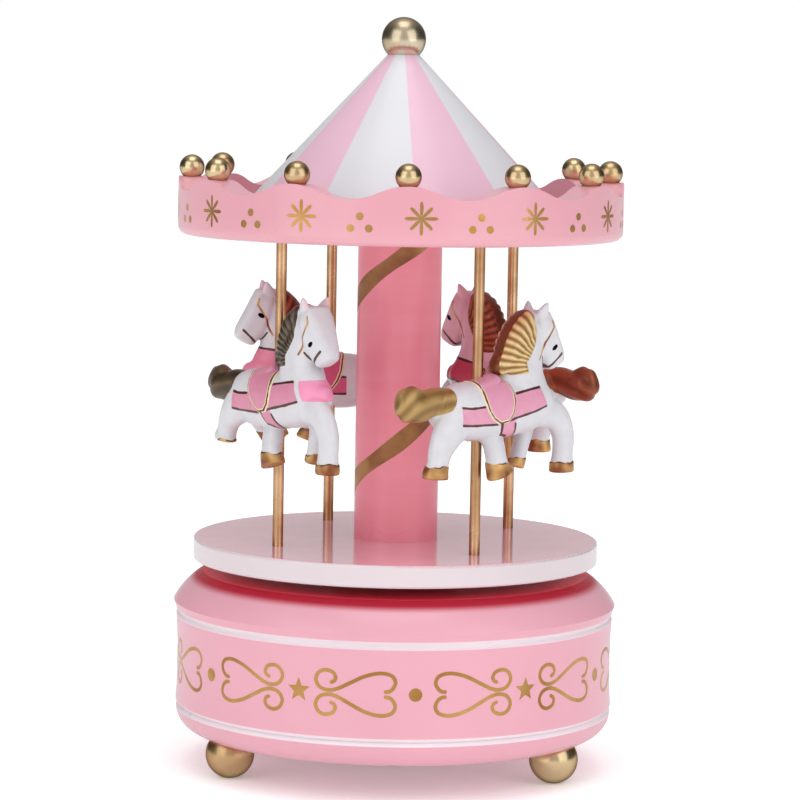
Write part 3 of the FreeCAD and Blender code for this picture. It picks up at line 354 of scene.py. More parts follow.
def makeWrapTree():
    # bends a flat sheet round an upright cylinder and repeats it round the axis
    tree = bpy.data.node_groups.new("wrapAndRepeat", "GeometryNodeTree")
    sockets = {}
    for name, kind in (("Geometry", "Geometry"), ("Radius", "Float"), ("Hollow", "Float"),
                       ("Half height", "Float"), ("Centre height", "Float"), ("First angle", "Float"),
                       ("Count", "Int"), ("Material", "Material")):
        socket = tree.interface.new_socket(name, in_out="INPUT", socket_type="NodeSocket" + kind)
        sockets[name] = socket.identifier
    tree.interface.new_socket("Geometry", in_out="OUTPUT", socket_type="NodeSocketGeometry")
    given = addNode(tree, "NodeGroupInput").outputs
    point = addNode(tree, "GeometryNodeInputPosition").outputs[0]
    flat = addNode(tree, "SeparateXYZ", {}, {0: point}).outputs
    known = {"index": addNode(tree, "GeometryNodeInputIndex").outputs[0]}
    known.update((name, given[name]) for name in sockets)
    known.update((name, flat[name]) for name in "XYZ")
    # each sum has a name, an operation and its terms
    for name, operation, *terms in (
            ("angle", "DIVIDE", "X", "Radius"),
            ("ratio", "DIVIDE", "Y", "Half height"),
            ("square", "MULTIPLY", "ratio", "ratio"),
            ("dip", "SUBTRACT", "square", 1.0),
            ("wall", "MULTIPLY_ADD", "dip", "Hollow", "Radius"),
            ("reach", "ADD", "wall", "Z"),
            ("sine", "SINE", "angle"),
            ("cosine", "COSINE", "angle"),
            ("x", "MULTIPLY", "reach", "sine"),
            ("front", "MULTIPLY", "reach", "cosine"),
            ("y", "MULTIPLY", "front", -1.0),
            ("z", "ADD", "Y", "Centre height"),
            ("step", "DIVIDE", 2 * math.pi, "Count"),
            ("turn", "MULTIPLY_ADD", "index", "step", "First angle")):
        settings, links = {"operation": operation}, {}
        for k, term in enumerate(terms):
            if isinstance(term, str):
                links[k] = known[term]
            else:
                settings[k] = term
        known[name] = addNode(tree, "Math", settings, links).outputs[0]
    spot = addNode(tree, "CombineXYZ", {}, {0: known["x"], 1: known["y"], 2: known["z"]})
    bent = addNode(tree, "GeometryNodeSetPosition", {},
                   {"Geometry": given["Geometry"], "Position": spot.outputs[0]})
    seats = addNode(tree, "GeometryNodePoints", {}, {"Count": given["Count"]})
    spin = addNode(tree, "CombineXYZ", {}, {2: known["turn"]})
    copies = addNode(tree, "GeometryNodeInstanceOnPoints", {},
                     {"Points": seats.outputs[0], "Instance": bent.outputs[0], "Rotation": spin.outputs[0]})
    real = addNode(tree, "GeometryNodeRealizeInstances", {}, {0: copies.outputs[0]})
    dressed = addNode(tree, "GeometryNodeSetMaterial", {},
                      {"Geometry": real.outputs[0], "Material": given["Material"]})
    addNode(tree, "NodeGroupOutput", {}, {0: dressed.outputs[0]})
    return tree, sockets


wrapTree, wrapSockets = makeWrapTree()


def wrapPrint(name, sheet, d, material, body):
    # a print with no hollow follows a straight wall, whatever its half height
    values = {"Radius": d["radius"] * mm, "Hollow": d.get("hollow", 0.0) * mm,
              "Half height": d.get("halfHeight", 1000.0) * mm, "Centre height": d.get("centre", 0.0) * mm,
              "First angle": math.radians(d.get("first", 0.0)), "Count": d.get("repeats", 1),
              "Material": material}
    flat = newObject(name + "Flat", [(x * mm, y * mm, z * mm) for x, y, z in sheet.verts], sheet.faces)
    modifier = flat.modifiers.new("wrap", "NODES")
    modifier.node_group = wrapTree
    for key, value in values.items():
        modifier[wrapSockets[key]] = value
    mesh = evaluatedMesh(flat)
    mesh.name = name
    piece = linkObject(name, mesh)
    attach(piece, body)
    print("print wrapped:", name, len(mesh.polygons), "faces")


def circlePoints(centre, radius, count):
    return [(centre[0] + radius * math.cos(a), centre[1] + radius * math.sin(a))
            for a in np.linspace(0, 2 * math.pi, count, endpoint=False)]


def starPoints(centre, outer, inner, points):
    return [(centre[0] + r * math.sin(math.pi * k / points), centre[1] + r * math.cos(math.pi * k / points))
            for k, r in enumerate([outer, inner] * points)]


# Gold scrollwork on the base: dot, open heart, star, open heart, six times round.
scrollwork = {
    "radius": 52.87, "hollow": 0.4, "halfHeight": 10.4, "centre": 26.07, "repeats": 6, "first": 5.7,
    "sunk": 0.12, "proud": 0.035, "line": 0.86, "dot": 1.55, "starAt": 27.68, "starOuter": 2.9,
    "starInner": 1.25,
    "heart": [(6.9, 0.6), (6.0, 0.75), (5.1, 1.55), (4.65, 2.95), (5.6, 4.4), (8.2, 4.9), (11.7, 4.1),
              (15.2, 2.4), (18.0, 1.0), (20.3, 0.5), (22.4, 1.1), (23.4, 2.8), (22.7, 4.45), (21.1, 5.15),
              (19.3, 4.7), (18.6, 3.6), (18.9, 2.75), (19.6, 2.35)]}


def makeScrollwork():
    d = scrollwork
    sheet = Sheet(d)
    sheet.fan((0, 0), circlePoints((0, 0), d["dot"], 36))
    sheet.fan((d["starAt"], 0), starPoints((d["starAt"], 0), d["starOuter"], d["starInner"], 5))
    curve = spline(d["heart"], 7)
    for up in (1, -1):
        sheet.stroke(curve * (1, up), d["line"])
        sheet.stroke(curve * (-1, up) + (2 * d["starAt"], 0), d["line"])
    wrapPrint("goldScrollwork", sheet, d, printGold, "base")


# Gold asterisks under the valleys of the rim and three dots between them.
rimPrint = {"radius": 53.4, "centre": 134.7, "repeats": 12, "first": 5.0, "sunk": 0.12, "proud": 0.035,
            "rays": 8, "rayLong": 3.75, "rayShort": 3.5, "rayHalf": 0.4, "hub": 0.55,
            "dot": 0.88, "dotSpread": 2.12, "dotRise": 2.7, "dotLow": -2.4}


def makeRimPrint():
    d = rimPrint
    sheet = Sheet(d)
    for k in range(d["rays"]):
        turn = 2 * math.pi * k / d["rays"]
        reach = d["rayLong"] if k % 2 == 0 else d["rayShort"]
        way, side = np.array([math.sin(turn), math.cos(turn)]), np.array([math.cos(turn), -math.sin(turn)])
        # how far out, and half the ray's width there
        stops = [(0.35, 0.12), (0.25 * reach, 0.3), (0.55 * reach, d["rayHalf"]),
                 (0.85 * reach, d["rayHalf"] * 0.95), (reach, d["rayHalf"] * 0.45)]
        sheet.strip([tuple(way * r - side * w) for r, w in stops],
                    [tuple(way * r + side * w) for r, w in stops])
    sheet.fan((0, 0), circlePoints((0, 0), d["hub"], 20))
    half = math.pi * d["radius"] / d["repeats"]
    for x, y in ((-d["dotSpread"], 0), (d["dotSpread"], 0), (0, d["dotRise"])):
        spot = (half + x, d["dotLow"] + y)
        sheet.fan(spot, circlePoints(spot, d["dot"], 28))
    wrapPrint("goldRimPrint", sheet, d, printGold, "carousel")


# Bronze ribbon painted up the column, one long spiral that the deck and the canopy cut off.
ribbon = {"radius": 10.1, "low": 55.3, "high": 128.1, "pitch": 44.4, "tall": 4.8, "leftAt": 67.9,
          "sunk": 0.1, "proud": 0.03, "steps": 420, "waver": 0.3, "waverRate": 0.21, "swell": 0.13,
          "swellRate": 0.37, "thin": 0.02}


def makeRibbon():
    d = ribbon
    sheet = Sheet(d)
    rise = d["pitch"] / (2 * math.pi * d["radius"])
    atFront = d["leftAt"] + d["pitch"] / 4         # the left side is a quarter turn before the front
    starts = (d["low"] - d["tall"] - atFront) / rise
    ends = (d["high"] + d["tall"] - atFront) / rise
    lower, upper = [], []
    for s in np.linspace(starts, ends, d["steps"]):
        middle = atFront + s * rise + d["waver"] * math.sin(s * d["waverRate"])
        half = d["tall"] / 2 * (1 + d["swell"] * math.sin(s * d["swellRate"] + 1))
        a, b = max(middle - half, d["low"]), min(middle + half, d["high"])
        if b - a > d["thin"]:
            lower.append((s, a))
            upper.append((s, b))
    sheet.strip(lower, upper)
    wrapPrint("bronzeRibbon", sheet, d, ribbonBronze, "carousel")


makeScrollwork()
makeRimPrint()
makeRibbon()


# Carved horses. Stations are forwards from the pole, inwards from the horse's middle and up from its lowest
# hoof, then the half sizes across the run and from side to side.
horseForm = {
    "torso": [(-12.6, 0, 17.0, 3.6, 3.2), (-10.4, 0, 17.2, 5.6, 4.6), (-6.0, 0, 17.2, 6.8, 5.3),
              (0.0, 0, 17.2, 6.8, 5.4), (7.0, 0, 17.6, 6.7, 5.4), (13.0, 0, 18.4, 6.6, 5.1),
              (17.3, 0, 18.8, 4.8, 4.2), (19.6, 0, 19.0, 2.7, 2.6)],
    "neck": [(11.5, 0, 20.0, 8.0, 4.7), (11.2, 0, 26.0, 6.0, 4.2), (12.2, 0, 31.0, 5.0, 3.8),
             (14.0, 0, 36.0, 3.6, 3.3)],
    "mane": [(4.8, 0, 26.6, 1.4, 2.0), (7.6, 0, 30.4, 2.8, 3.5), (9.8, 0, 34.6, 2.9, 3.8),
             (12.0, 0, 37.6, 2.3, 3.3), (14.2, 0, 39.2, 1.2, 2.0)],
    "head": [(16.0, 0, 39.4, 2.3, 3.3), (16.5, 0, 36.8, 3.0, 3.9), (17.8, 0, 32.9, 3.6, 3.6),
             (20.1, 0, 29.3, 3.3, 2.8), (21.1, 0, 27.4, 2.7, 2.3)],
    "seat": [(-4.4, 0, 23.0, 0.8, 3.4), (-1.6, 0, 23.1, 0.9, 3.4), (1.2, 0, 23.8, 1.0, 3.2),
             (2.9, 0, 24.5, 0.9, 2.8)],
    "tail": [(-9.0, 0, 20.6, 2.2, 2.0), (-13.5, 0, 19.9, 3.2, 2.5), (-17.6, 0, 18.9, 3.6, 2.7),
             (-21.2, 0, 19.6, 4.4, 2.7), (-23.3, 0, 20.2, 3.2, 2.0)],
    "hindTrailing": [(-8.6, -2.4, 16.0, 5.0, 2.8), (-11.8, -2.5, 12.2, 4.0, 2.7),
                     (-13.6, -2.5, 8.8, 3.1, 2.4), (-14.4, -2.5, 5.6, 2.6, 2.2),
                     (-15.0, -2.5, 3.4, 3.0, 2.4), (-15.1, -2.5, 2.3, 3.1, 2.4)],
    "hindLeading": [(0.2, 0.6, 14.0, 3.8, 2.4), (2.2, -1.2, 10.4, 2.8, 2.4), (2.7, -2.2, 6.6, 2.6, 2.2),
                    (3.1, -2.4, 4.4, 2.8, 2.3), (3.9, -2.5, 2.0, 3.3, 2.4)],
    "foreLeading": [(15.0, -1.8, 17.0, 4.2, 2.4), (20.8, -1.6, 15.0, 3.4, 2.4), (23.4, -1.4, 10.6, 2.9, 2.3),
                    (23.5, -1.3, 6.4, 2.6, 2.2), (23.3, -1.3, 3.4, 2.9, 2.4), (23.3, -1.3, 1.8, 3.0, 2.4)],
    "foreTrailing": [(14.0, 2.4, 16.0, 3.4, 2.3), (14.4, 2.2, 12.0, 2.4, 2.1), (13.2, 1.9, 7.6, 1.8, 2.0),
                     (12.2, 1.8, 4.8, 1.8, 2.0), (11.7, 1.8, 3.4, 2.0, 2.0)],
    "earOuter": [(15.2, -2.2, 38.6, 1.8, 1.3), (15.7, -2.9, 40.4, 1.3, 0.9), (16.1, -3.5, 41.9, 0.5, 0.45)]}
horseForm["earInner"] = [(u, -v, w, a, b) for u, v, w, a, b in horseForm["earOuter"]]
hindGathered = [(-8.6, 2.4, 16.0, 4.6, 2.8), (-9.8, 2.5, 12.2, 3.9, 2.7), (-9.7, 2.5, 8.8, 3.1, 2.4),
                (-9.3, 2.5, 5.6, 2.6, 2.2), (-9.1, 2.5, 3.4, 3.0, 2.4), (-9.1, 2.5, 2.3, 3.1, 2.4)]
# the height where each of these legs starts, and its drop to the hoof
legSwing = {"hindTrailing": (16.0, 14.0), "foreLeading": (17.0, 15.0), "foreTrailing": (16.0, 13.0)}
horseBuild = {
    "steps": 7, "ring": 28, "voxel": 0.27, "smooth": 4, "evenOut": 14,
    "flatEnds": ["hindTrailing", "hindLeading", "foreLeading", "foreTrailing"],
    "square": {"head": 0.62, "torso": 0.85}, "blunt": {"head": 0.3},
    "saddleProud": 0.4, "bandProud": 0.12, "maneProud": 0.45, "hoofProud": 0.22,
    "rib": 0.32, "ribs": 9, "strand": 0.2, "strands": 2.6}
# Outlines and lines of the paint in the side view. The saddle's lines give how far they run inside its edge,
# then half their width.
horseMarks = {
    "saddle": [(-4.5, 30), (-4.3, 24.6), (-3.5, 22.4), (-3.0, 20.0), (-2.1, 17.6), (-0.6, 15.6), (1.6, 14.4),
               (3.9, 14.8), (5.3, 16.5), (5.9, 19.0), (5.9, 21.2), (5.5, 23.0), (4.9, 24.6), (4.7, 30)],
    "tail": [(-10.4, 25), (-10.2, 22), (-10.3, 20.4), (-10.7, 19.1), (-11.6, 18.0), (-13.4, 17.2),
             (-15.5, 16.3), (-20, 13), (-28, 12), (-28, 27), (-12, 26)],
    "bandTop": [(-14, 18.4), (-9.9, 18.6), (-6.5, 18.3), (-2.7, 18.6), (6.4, 21.3), (12.9, 22.4), (17, 22.9),
                (24, 23.6)],
    "bandLow": [(-14, 14.6), (-9.2, 14.5), (-6.4, 14.3), (1.1, 14.3), (6.5, 15.7), (11.9, 16.9), (16.3, 18.2),
                (24, 18.4)],
    "bandFront": 15.0, "lean": 0.45, "leanAt": 20.0, "riseFrom": 6.0, "riseTo": 11.0,
    "girth": [(1.9, 15.2), (6.0, 15.2), (7.2, 11.6), (5.7, 7.0), (5.0, 6.6), (3.0, 11.0)],
    "girthTop": 14.6, "girthLow": 7.4, "tailRoot": (-9.0, 19.6), "tailLong": 15.0, "tailTall": 8.5,
    "mane": [(12.6, 44), (13.0, 38.6), (13.2, 35.6), (12.8, 32.6), (11.4, 30.0), (10.0, 28.2), (10.5, 25.9),
             (6.8, 25.4), (3.4, 25.9), (-2, 25.8), (-2, 44)],
    "fanFocus": (14.8, 27.6), "fanLow": -8.0, "fanHigh": 84.0, "crest": 1.5,
    "eyeLong": 0.95, "eyeTall": 0.55, "eyeTilt": 35.0, "eyeOut": 1.2, "cheekOut": 1.4, "earFrom": 38.9,
    "cheek": [(17.8, 37.8), (18.2, 36.4), (16.8, 34.2), (15.8, 32.7), (15.6, 31.5), (15.0, 30.0),
              (14.3, 28.8)],
    "nose": [(21.6, 30.0), (19.7, 28.2), (18.4, 26.8)],
    "jaw": [(15.6, 29.4), (16.7, 27.8), (18.0, 26.9)],
    "halfLine": {"band": 0.3, "girth": 0.3, "nose": 0.3, "jaw": 0.22, "cheek": 0.26, "hoof": 0.14},
    "creamLines": [(0.02, 0.2), (0.6, 0.14)], "brownLine": (0.28, 0.19),
    "hoof": {"hindTrailing": 5.2, "hindLeading": 5.0, "foreLeading": 4.2, "foreTrailing": 5.4}}
# What a horse has unless it says otherwise. The band breaks off at bandFront and goes on past breastAt,
# and in front of breastFrom it has the breast's colour.
plainHorse = {"yaw": 3.5, "bandBack": -9.4, "bandRise": 0.0, "breastAt": -40.0, "breastFrom": 4.0,
              "hoofTrim": 0.0, "shortHind": 0.0, "foreTuck": 0.0, "foreShift": 0.0, "gathered": False,
              "pinkReflection": None}
horses = {
    "front_left": {"degrees": 215.0, "lift": 18.0, "rose": ("#C67993", "#CE8AA1"), "eye": (18.7, 31.5),
                   "mane": ("#6B5B46", "#2F2620"), "crest": "#3E332A", "tail": ("#66523A", "#463624"),
                   "breast": "#E58CB0", "breastAt": 16.3, "breastFrom": 15.6, "hoofTrim": 2.4,
                   "shortHind": 4.0, "foreShift": 2.2},
    "front_right": {"degrees": 303.0, "lift": 17.0, "rose": ("#CF87A2", "#D698AF"), "eye": (19.0, 31.5),
                    "mane": ("#EBCE92", "#8A5A28"), "crest": "#7A3F1E", "tail": ("#B8955A", "#8A6A3A"),
                    "breast": "#CF8BA4", "breastAt": 40.0, "breastFrom": 40.0},
    # this horse's neck and head carry a painted pink reflection of the column over the white
    "back_right": {"degrees": 35.0, "lift": 17.9, "rose": ("#C95A7C", "#D46A8A"), "eye": (19.3, 33.5),
                   "mane": ("#B05632", "#66291A"), "crest": "#7A3620", "tail": ("#9C5030", "#7C3A20"),
                   "breast": "#C03C5A", "yaw": 15.0, "bandRise": 0.8, "gathered": True, "pinkReflection": "#DDAABA"},
    "back_left": {"degrees": 120.0, "lift": 17.8, "rose": ("#C04A72", "#CC5C82"), "eye": (17.3, 33.7),
                  "mane": ("#9A4422", "#4E1E10"), "crest": "#6A2C14", "tail": ("#8A5230", "#6A3A20"),
                  "breast": "#D97C98", "yaw": -19.0, "bandBack": -4.2, "bandRise": 2.6, "foreTuck": 11.0}}
horseRing = {"poleCircle": 34.0, "out": 1.9, "deck": 55.17}


def limbRings(stations, flatEnd, square, blunt):
    path = spline(stations, horseBuild["steps"])
    run = np.gradient(path[:, :3], axis=0)
    run /= np.linalg.norm(run, axis=1)[:, None]
    turns = np.linspace(0, 2 * math.pi, horseBuild["ring"], endpoint=False)
    side = np.array([0.0, 1.0, 0.0])
    rows = [(c[:3], d, c[3], c[4]) for c, d in zip(path, run)]
    for end in (0, -1):
        if end == -1 and flatEnd:
            continue
        middle, way, tall, wide = rows[end]
        way = -way if end == 0 else way
        cap = min(tall, wide) * blunt
        extra = [(middle + way * cap * math.sin(a), run[end], tall * math.cos(a), wide * math.cos(a))
                 for a in np.radians((25, 48, 68, 84))]      # a rounded end
        rows = extra[::-1] + rows if end == 0 else rows + extra
    rings = []
    for middle, way, tall, wide in rows:
        up = np.cross(side, way)
        up /= np.linalg.norm(up)
        rings.append([middle + up * tall * math.copysign(abs(math.cos(t)) ** square, math.cos(t))
                      + side * wide * math.copysign(abs(math.sin(t)) ** square, math.sin(t)) for t in turns])
    return np.array(rings)


def segmentDistance(u, w, a, b):
    run = b - a
    along = np.clip(((u - a[0]) * run[0] + (w - a[1]) * run[1]) / (run @ run), 0, 1)
    return np.hypot(u - a[0] - along * run[0], w - a[1] - along * run[1])


def lineDistance(u, w, line):
    corners = np.array(line, float)
    return np.minimum.reduce([segmentDistance(u, w, a, b) for a, b in zip(corners[:-1], corners[1:])])


def outlineDistance(u, w, outline):
    # distance to a closed outline in the side view, less than nothing inside it
    corners = np.array(outline, float)
    inside = np.zeros(len(u), bool)
    for a, b in zip(corners, np.roll(corners, -1, 0)):
        slope = (b[0] - a[0]) / (b[1] - a[1] if b[1] != a[1] else 1e-9)
        inside ^= ((a[1] > w) != (b[1] > w)) & (u < a[0] + (w - a[1]) * slope)
    best = lineDistance(u, w, outline + outline[:1])
    return np.where(inside, -best, best)


def ease(value, low, high):
    t = np.clip((value - low) / (high - low), 0, 1)
    return t * t * (3 - 2 * t)


def readVectors(rows, field):
    flat = np.empty(len(rows) * 3)
    rows.foreach_get(field, flat)
    return flat.reshape(-1, 3)


def movePoints(mesh, points):
    mesh.vertices.foreach_set("co", points.ravel())
    mesh.update()


def evenOut(mesh, values, rounds):
    # draws each point's value towards the mean of its neighbours
    ends = np.empty(len(mesh.edges) * 2, int)
    mesh.edges.foreach_get("vertices", ends)
    a, b = ends[0::2], ends[1::2]
    count = np.bincount(ends, minlength=len(values))
    for _ in range(rounds):
        total = np.bincount(a, values[b], len(values)) + np.bincount(b, values[a], len(values))
        values = values + 0.6 * (total / count - values)
    return values


def poseLeg(limb, stations, d):
    # moves the hoof forwards and up, and the leg follows in proportion
    top, drop = legSwing[limb]
    forwards = {"hindTrailing": -0.12 * d["shortHind"], "foreLeading": -d["foreTuck"],
                "foreTrailing": d["foreShift"]}[limb]
    lift = d["shortHind"] if limb == "hindTrailing" else 0.0
    return [(u + forwards * (top - w) / drop, v, w + lift * (top - w) / drop, a, b)
            for u, v, w, a, b in stations]


def carveHorse(name, d):
    limbs = {}
    for limb, stations in horseForm.items():
        if limb == "hindTrailing" and d["gathered"]:
            stations = hindGathered
        if limb in legSwing:
            stations = poseLeg(limb, stations, d)
        limbs[limb] = limbRings(stations, limb in horseBuild["flatEnds"],
                                horseBuild["square"].get(limb, 0.95), horseBuild["blunt"].get(limb, 0.7))
    verts, faces = [], []
    ring = horseBuild["ring"]
    for rings in limbs.values():
        start = len(verts)
        for row in rings:
            verts += list(row)
        for k in range(len(rings) - 1):
            for j in range(ring):
                a, b = start + k * ring + j, start + k * ring + (j + 1) % ring
                faces.append([a, b, b + ring, a + ring])
        faces.append([start + j for j in range(ring - 1, -1, -1)])
        faces.append([start + (len(rings) - 1) * ring + j for j in range(ring)])
    rough = newObject(name + "Rough", verts, faces)
    remesh = rough.modifiers.new("remesh", "REMESH")
    remesh.mode, remesh.voxel_size, remesh.use_smooth_shade = "VOXEL", horseBuild["voxel"], True
    mesh = evaluatedMesh(rough)
    points = readVectors(mesh.vertices, "co")
    movePoints(mesh, np.stack([evenOut(mesh, axis, horseBuild["smooth"]) for axis in points.T], 1))
    return mesh, limbs


def nearness(mesh, points, limbs, wanted):
    # distance to the chosen limbs less the distance to all the others, evened out over the surface
    found = []
    for group in (wanted, [limb for limb in limbs if limb not in wanted]):
        cloud = np.concatenate([limbs[limb].reshape(-1, 3) for limb in group])
        tree = kdtree.KDTree(len(cloud))
        for k, point in enumerate(cloud):
            tree.insert(point, k)
        tree.balance()
        found.append(np.array([tree.find(point)[2] for point in points]))
    return evenOut(mesh, found[0] - found[1], horseBuild["evenOut"])


def paintHorse(mesh, limbs, d):
    # each field is the distance to a painted patch's edge, less than nothing inside it, in millimetres
    m, build = horseMarks, horseBuild
    points, normals = readVectors(mesh.vertices, "co"), readVectors(mesh.vertex_normals, "vector")
    u, v, w = points.T
    saddle, tail, mane = [outlineDistance(u, w, m[key]) for key in ("saddle", "tail", "mane")]
    top = np.interp(u, *np.array(m["bandTop"]).T) + d["bandRise"] * ease(u, m["riseFrom"], m["riseTo"])
    low = np.interp(u, *np.array(m["bandLow"]).T)
    lean = (w - m["leanAt"]) * m["lean"]
    gap = np.maximum(m["bandFront"] - u - lean, u - d["breastAt"] + lean)
    band = np.maximum.reduce([w - top, low - w, d["bandBack"] - u, -gap])
    girth = np.maximum(outlineDistance(u, w, m["girth"]), -nearness(mesh, points, limbs, ["hindLeading"]))
    fanU, fanW = m["fanFocus"]
    fan = np.degrees(np.arctan2(w - fanW, fanU - u))
    rib = 0.5 + 0.5 * np.cos(2 * math.pi * build["ribs"] * (fan - m["fanLow"]) / (m["fanHigh"] - m["fanLow"]))
    tailU, tailW = m["tailRoot"]
    reachBack = (tailU - u) / m["tailLong"]      # the strands turn down towards the tail's tip
    curl = (w - tailW) / m["tailTall"] * (1 - 0.25 * reachBack) + 0.5 * reachBack ** 3 + v * 0.05
    strand = 0.5 + 0.5 * np.cos(2 * math.pi * build["strands"] * curl)
    hoof = np.full(len(u), 9.0)
    for leg, height in m["hoof"].items():
        # a hand-painted edge wavers
        ragged = 0.16 * np.sin(1.1 * u + 0.9 * v + height) + 0.1 * np.sin(2.7 * u - 1.3 * v)
        if leg == "hindTrailing":
            height += 0.92 * d["shortHind"] - d["hoofTrim"]
        hoof = np.minimum(hoof, np.maximum(w - height + ragged, nearness(mesh, points, limbs, [leg])))
    push = build["saddleProud"] * ease(-saddle, -0.25, 0.35)
    push += build["bandProud"] * ease(-np.minimum(band, girth), -0.2, 0.2) * (saddle > 0.3)
    ribbed = build["rib"] * (rib - 0.5) * ease(np.abs(v), 0.8, 2.0)
    push += ease(-mane, -0.3, 0.6) * (build["maneProud"] + ribbed)
    push += ease(-tail, 0.0, 1.2) * build["strand"] * (strand - 0.5)
    push += build["hoofProud"] * ease(-hoof, -0.15, 0.25)
    points = points + normals * push[:, None]
    movePoints(mesh, points)
    half = m["halfLine"]
    bandEnd = m["bandFront"] if d["breastAt"] > 0 else 40.0
    bandEdge = np.maximum.reduce([np.minimum(np.abs(w - top), np.abs(w - low)) - half["band"],
                                  d["bandBack"] - u, -gap, 0.3 - saddle, u + lean - bandEnd])
    girthEdge = np.maximum.reduce([np.abs(girth + 0.1) - half["girth"], w - m["girthTop"], m["girthLow"] - w])
    saddleLines = [np.abs(saddle + inside) - wide for inside, wide in m["creamLines"] + [m["brownLine"]]]
    nose, jaw, cheek = [lineDistance(u, w, m[key]) - half[key] for key in ("nose", "jaw", "cheek")]
    pink = np.minimum(band, girth)
    pink = np.minimum(np.where(saddle < 0.9, np.maximum(pink, 0.2 - saddle), pink), saddle + 0.5)
    tilt = math.radians(m["eyeTilt"])
    du, dw = u - d["eye"][0], w - d["eye"][1]
    eye = (np.hypot((du * math.cos(tilt) + dw * math.sin(tilt)) / m["eyeLong"],
                    (dw * math.cos(tilt) - du * math.sin(tilt)) / m["eyeTall"]) - 1) * m["eyeTall"]
    ears = nearness(mesh, points, limbs, ["earOuter", "earInner"])
    fields = {
        "pink": pink,
        "cream": np.minimum(*saddleLines[:2]),
        "brown": np.minimum.reduce([bandEdge, girthEdge, saddleLines[2], nose, jaw]),
        "gilt": np.minimum(hoof, np.maximum(cheek, m["cheekOut"] - np.abs(v))),
        "hoofEdge": np.maximum(np.abs(hoof + 0.1) - half["hoof"], 0.35 * np.sin(1.7 * u) - 0.1),
        "mane": mane,
        "crest": np.maximum(mane, np.abs(v) - m["crest"]),
        "tail": tail,
        "eye": np.maximum(eye, m["eyeOut"] - np.abs(v)),
        "blush": np.maximum.reduce([ears + 0.25, -normals[:, 0] + 0.35, m["earFrom"] - w]),
        # where the painted pink reflection of the column falls: the neck and head above the band
        "pinkReflection": np.maximum(top + 0.3 - w, 5.0 - u),
        "breast": np.maximum.reduce([pink, d["breastFrom"] - u - lean, 0.3 - saddle]),
        # the crests of the mane's ribs and the tail's strands, where the light colour is a painted highlight
        "ridge": np.where(mane < 0, rib, strand)}
    for key, values in fields.items():
        layer = mesh.attributes.new(key, "FLOAT", "POINT")
        layer.data.foreach_set("value", np.clip(values, -9, 9).astype(np.float32))


def makeHorsePaint(name, d):
    # Brush-painted carved wood: gloss white enamel, flat pink, brown liner strokes and metallic gold touches.
    brush = {"stroke": 2.4, "waver": 0.16, "dab": 4.5, "edge": 0.05, "metal": 0.45, "eyeGloss": 0.02}
    material, tree, shader, place = startMaterial("brushPaintedWood_" + name,
                                                  {"Coat Weight": 0.25, "Coat Roughness": 0.15})
    stroke = addNode(tree, "TexNoise", {"Scale": perMetre(brush["stroke"]), "Detail": 4.0}, {"Vector": place})
    waver = addNode(tree, "MapRange", {"To Min": -brush["waver"], "To Max": brush["waver"]},
                    {"Value": stroke.outputs["Fac"]})
    dabs = addNode(tree, "TexNoise", {"Scale": perMetre(brush["dab"]), "Detail": 1.0}, {"Vector": place})
    patch = addNode(tree, "MapRange", {"From Min": 0.4, "From Max": 0.66}, {"Value": dabs.outputs["Fac"]})
    ridge = addNode(tree, "Attribute", {"attribute_name": "ridge"})
    mixed = {}
    # The mane's and tail's two colours follow the carved ribs and strands: partly their own two-tone paint,
    # partly a painted highlight on the crests and painted shade in the grooves.
    for key, (first, second), blend in (("white", ("#C2C1C6", "#D2D1D5"), stroke.outputs["Fac"]),
                                        ("pink", d["rose"], stroke.outputs["Fac"]),
                                        ("gilt", ("#84461F", "#D4A867"), patch.outputs["Result"]),
                                        ("mane", d["mane"][::-1], ridge.outputs["Fac"]),
                                        ("tail", d["tail"][::-1], ridge.outputs["Fac"])):
        mixed[key] = addNode(tree, "Mix", {"data_type": "RGBA", 6: linear(first), 7: linear(second)},
                             {0: blend}).outputs[2]
    # a horse may first get a painted pink reflection of the column on its neck and head
    layers = [("pinkReflection", d["pinkReflection"])] if d["pinkReflection"] else []
    layers += [("pink", None), ("breast", d["breast"]), ("cream", "#E7CFA0"), ("brown", "#4A2018"),
               ("gilt", None), ("hoofEdge", "#5A3A22"), ("mane", None), ("crest", d["crest"]),
               ("tail", None), ("blush", "#DDBFCA"), ("eye", "#050404")]
    colour, shine = mixed["white"], None
    for key, paint in layers:
        field = addNode(tree, "Attribute", {"attribute_name": key}).outputs["Fac"]
        edge = addNode(tree, "Math", {"operation": "ADD"}, {0: field, 1: waver.outputs["Result"]})
        cover = addNode(tree, "MapRange", {"From Min": -brush["edge"], "From Max": brush["edge"],
                                           "To Min": 1.0, "To Max": 0.0}, {"Value": edge.outputs[0]})
        cover = cover.outputs["Result"]
        settings, links = {"data_type": "RGBA"}, {0: cover, 6: colour}
        if paint:
            settings[7] = linear(paint)
        else:
            links[7] = mixed[key]
        colour = addNode(tree, "Mix", settings, links).outputs[2]
        if key in ("gilt", "mane", "tail"):
            shine = cover if shine is None else addNode(tree, "Math", {"operation": "MAXIMUM"},
                                                        {0: shine, 1: cover}).outputs[0]
    for socket in ("Coat Weight", "Specular IOR Level"):      # the eye, painted last, is matt
        dull = addNode(tree, "MapRange", {"To Min": shader.inputs[socket].default_value,
                                          "To Max": brush["eyeGloss"]}, {"Value": cover})
        tree.links.new(dull.outputs["Result"], shader.inputs[socket])
    tree.links.new(colour, shader.inputs["Base Color"])
    metal = addNode(tree, "Math", {"operation": "MULTIPLY", 1: brush["metal"]}, {0: shine})
    tree.links.new(metal.outputs[0], shader.inputs["Metallic"])
    rough = addNode(tree, "MapRange", {"To Min": 0.28, "To Max": 0.42}, {"Value": stroke.outputs["Fac"]})
    tree.links.new(rough.outputs["Result"], shader.inputs["Roughness"])
    bump = addNode(tree, "Bump", {"Strength": 0.2, "Distance": 0.03 * mm}, {"Height": stroke.outputs["Fac"]})
    tree.links.new(bump.outputs["Normal"], shader.inputs["Normal"])
    return material


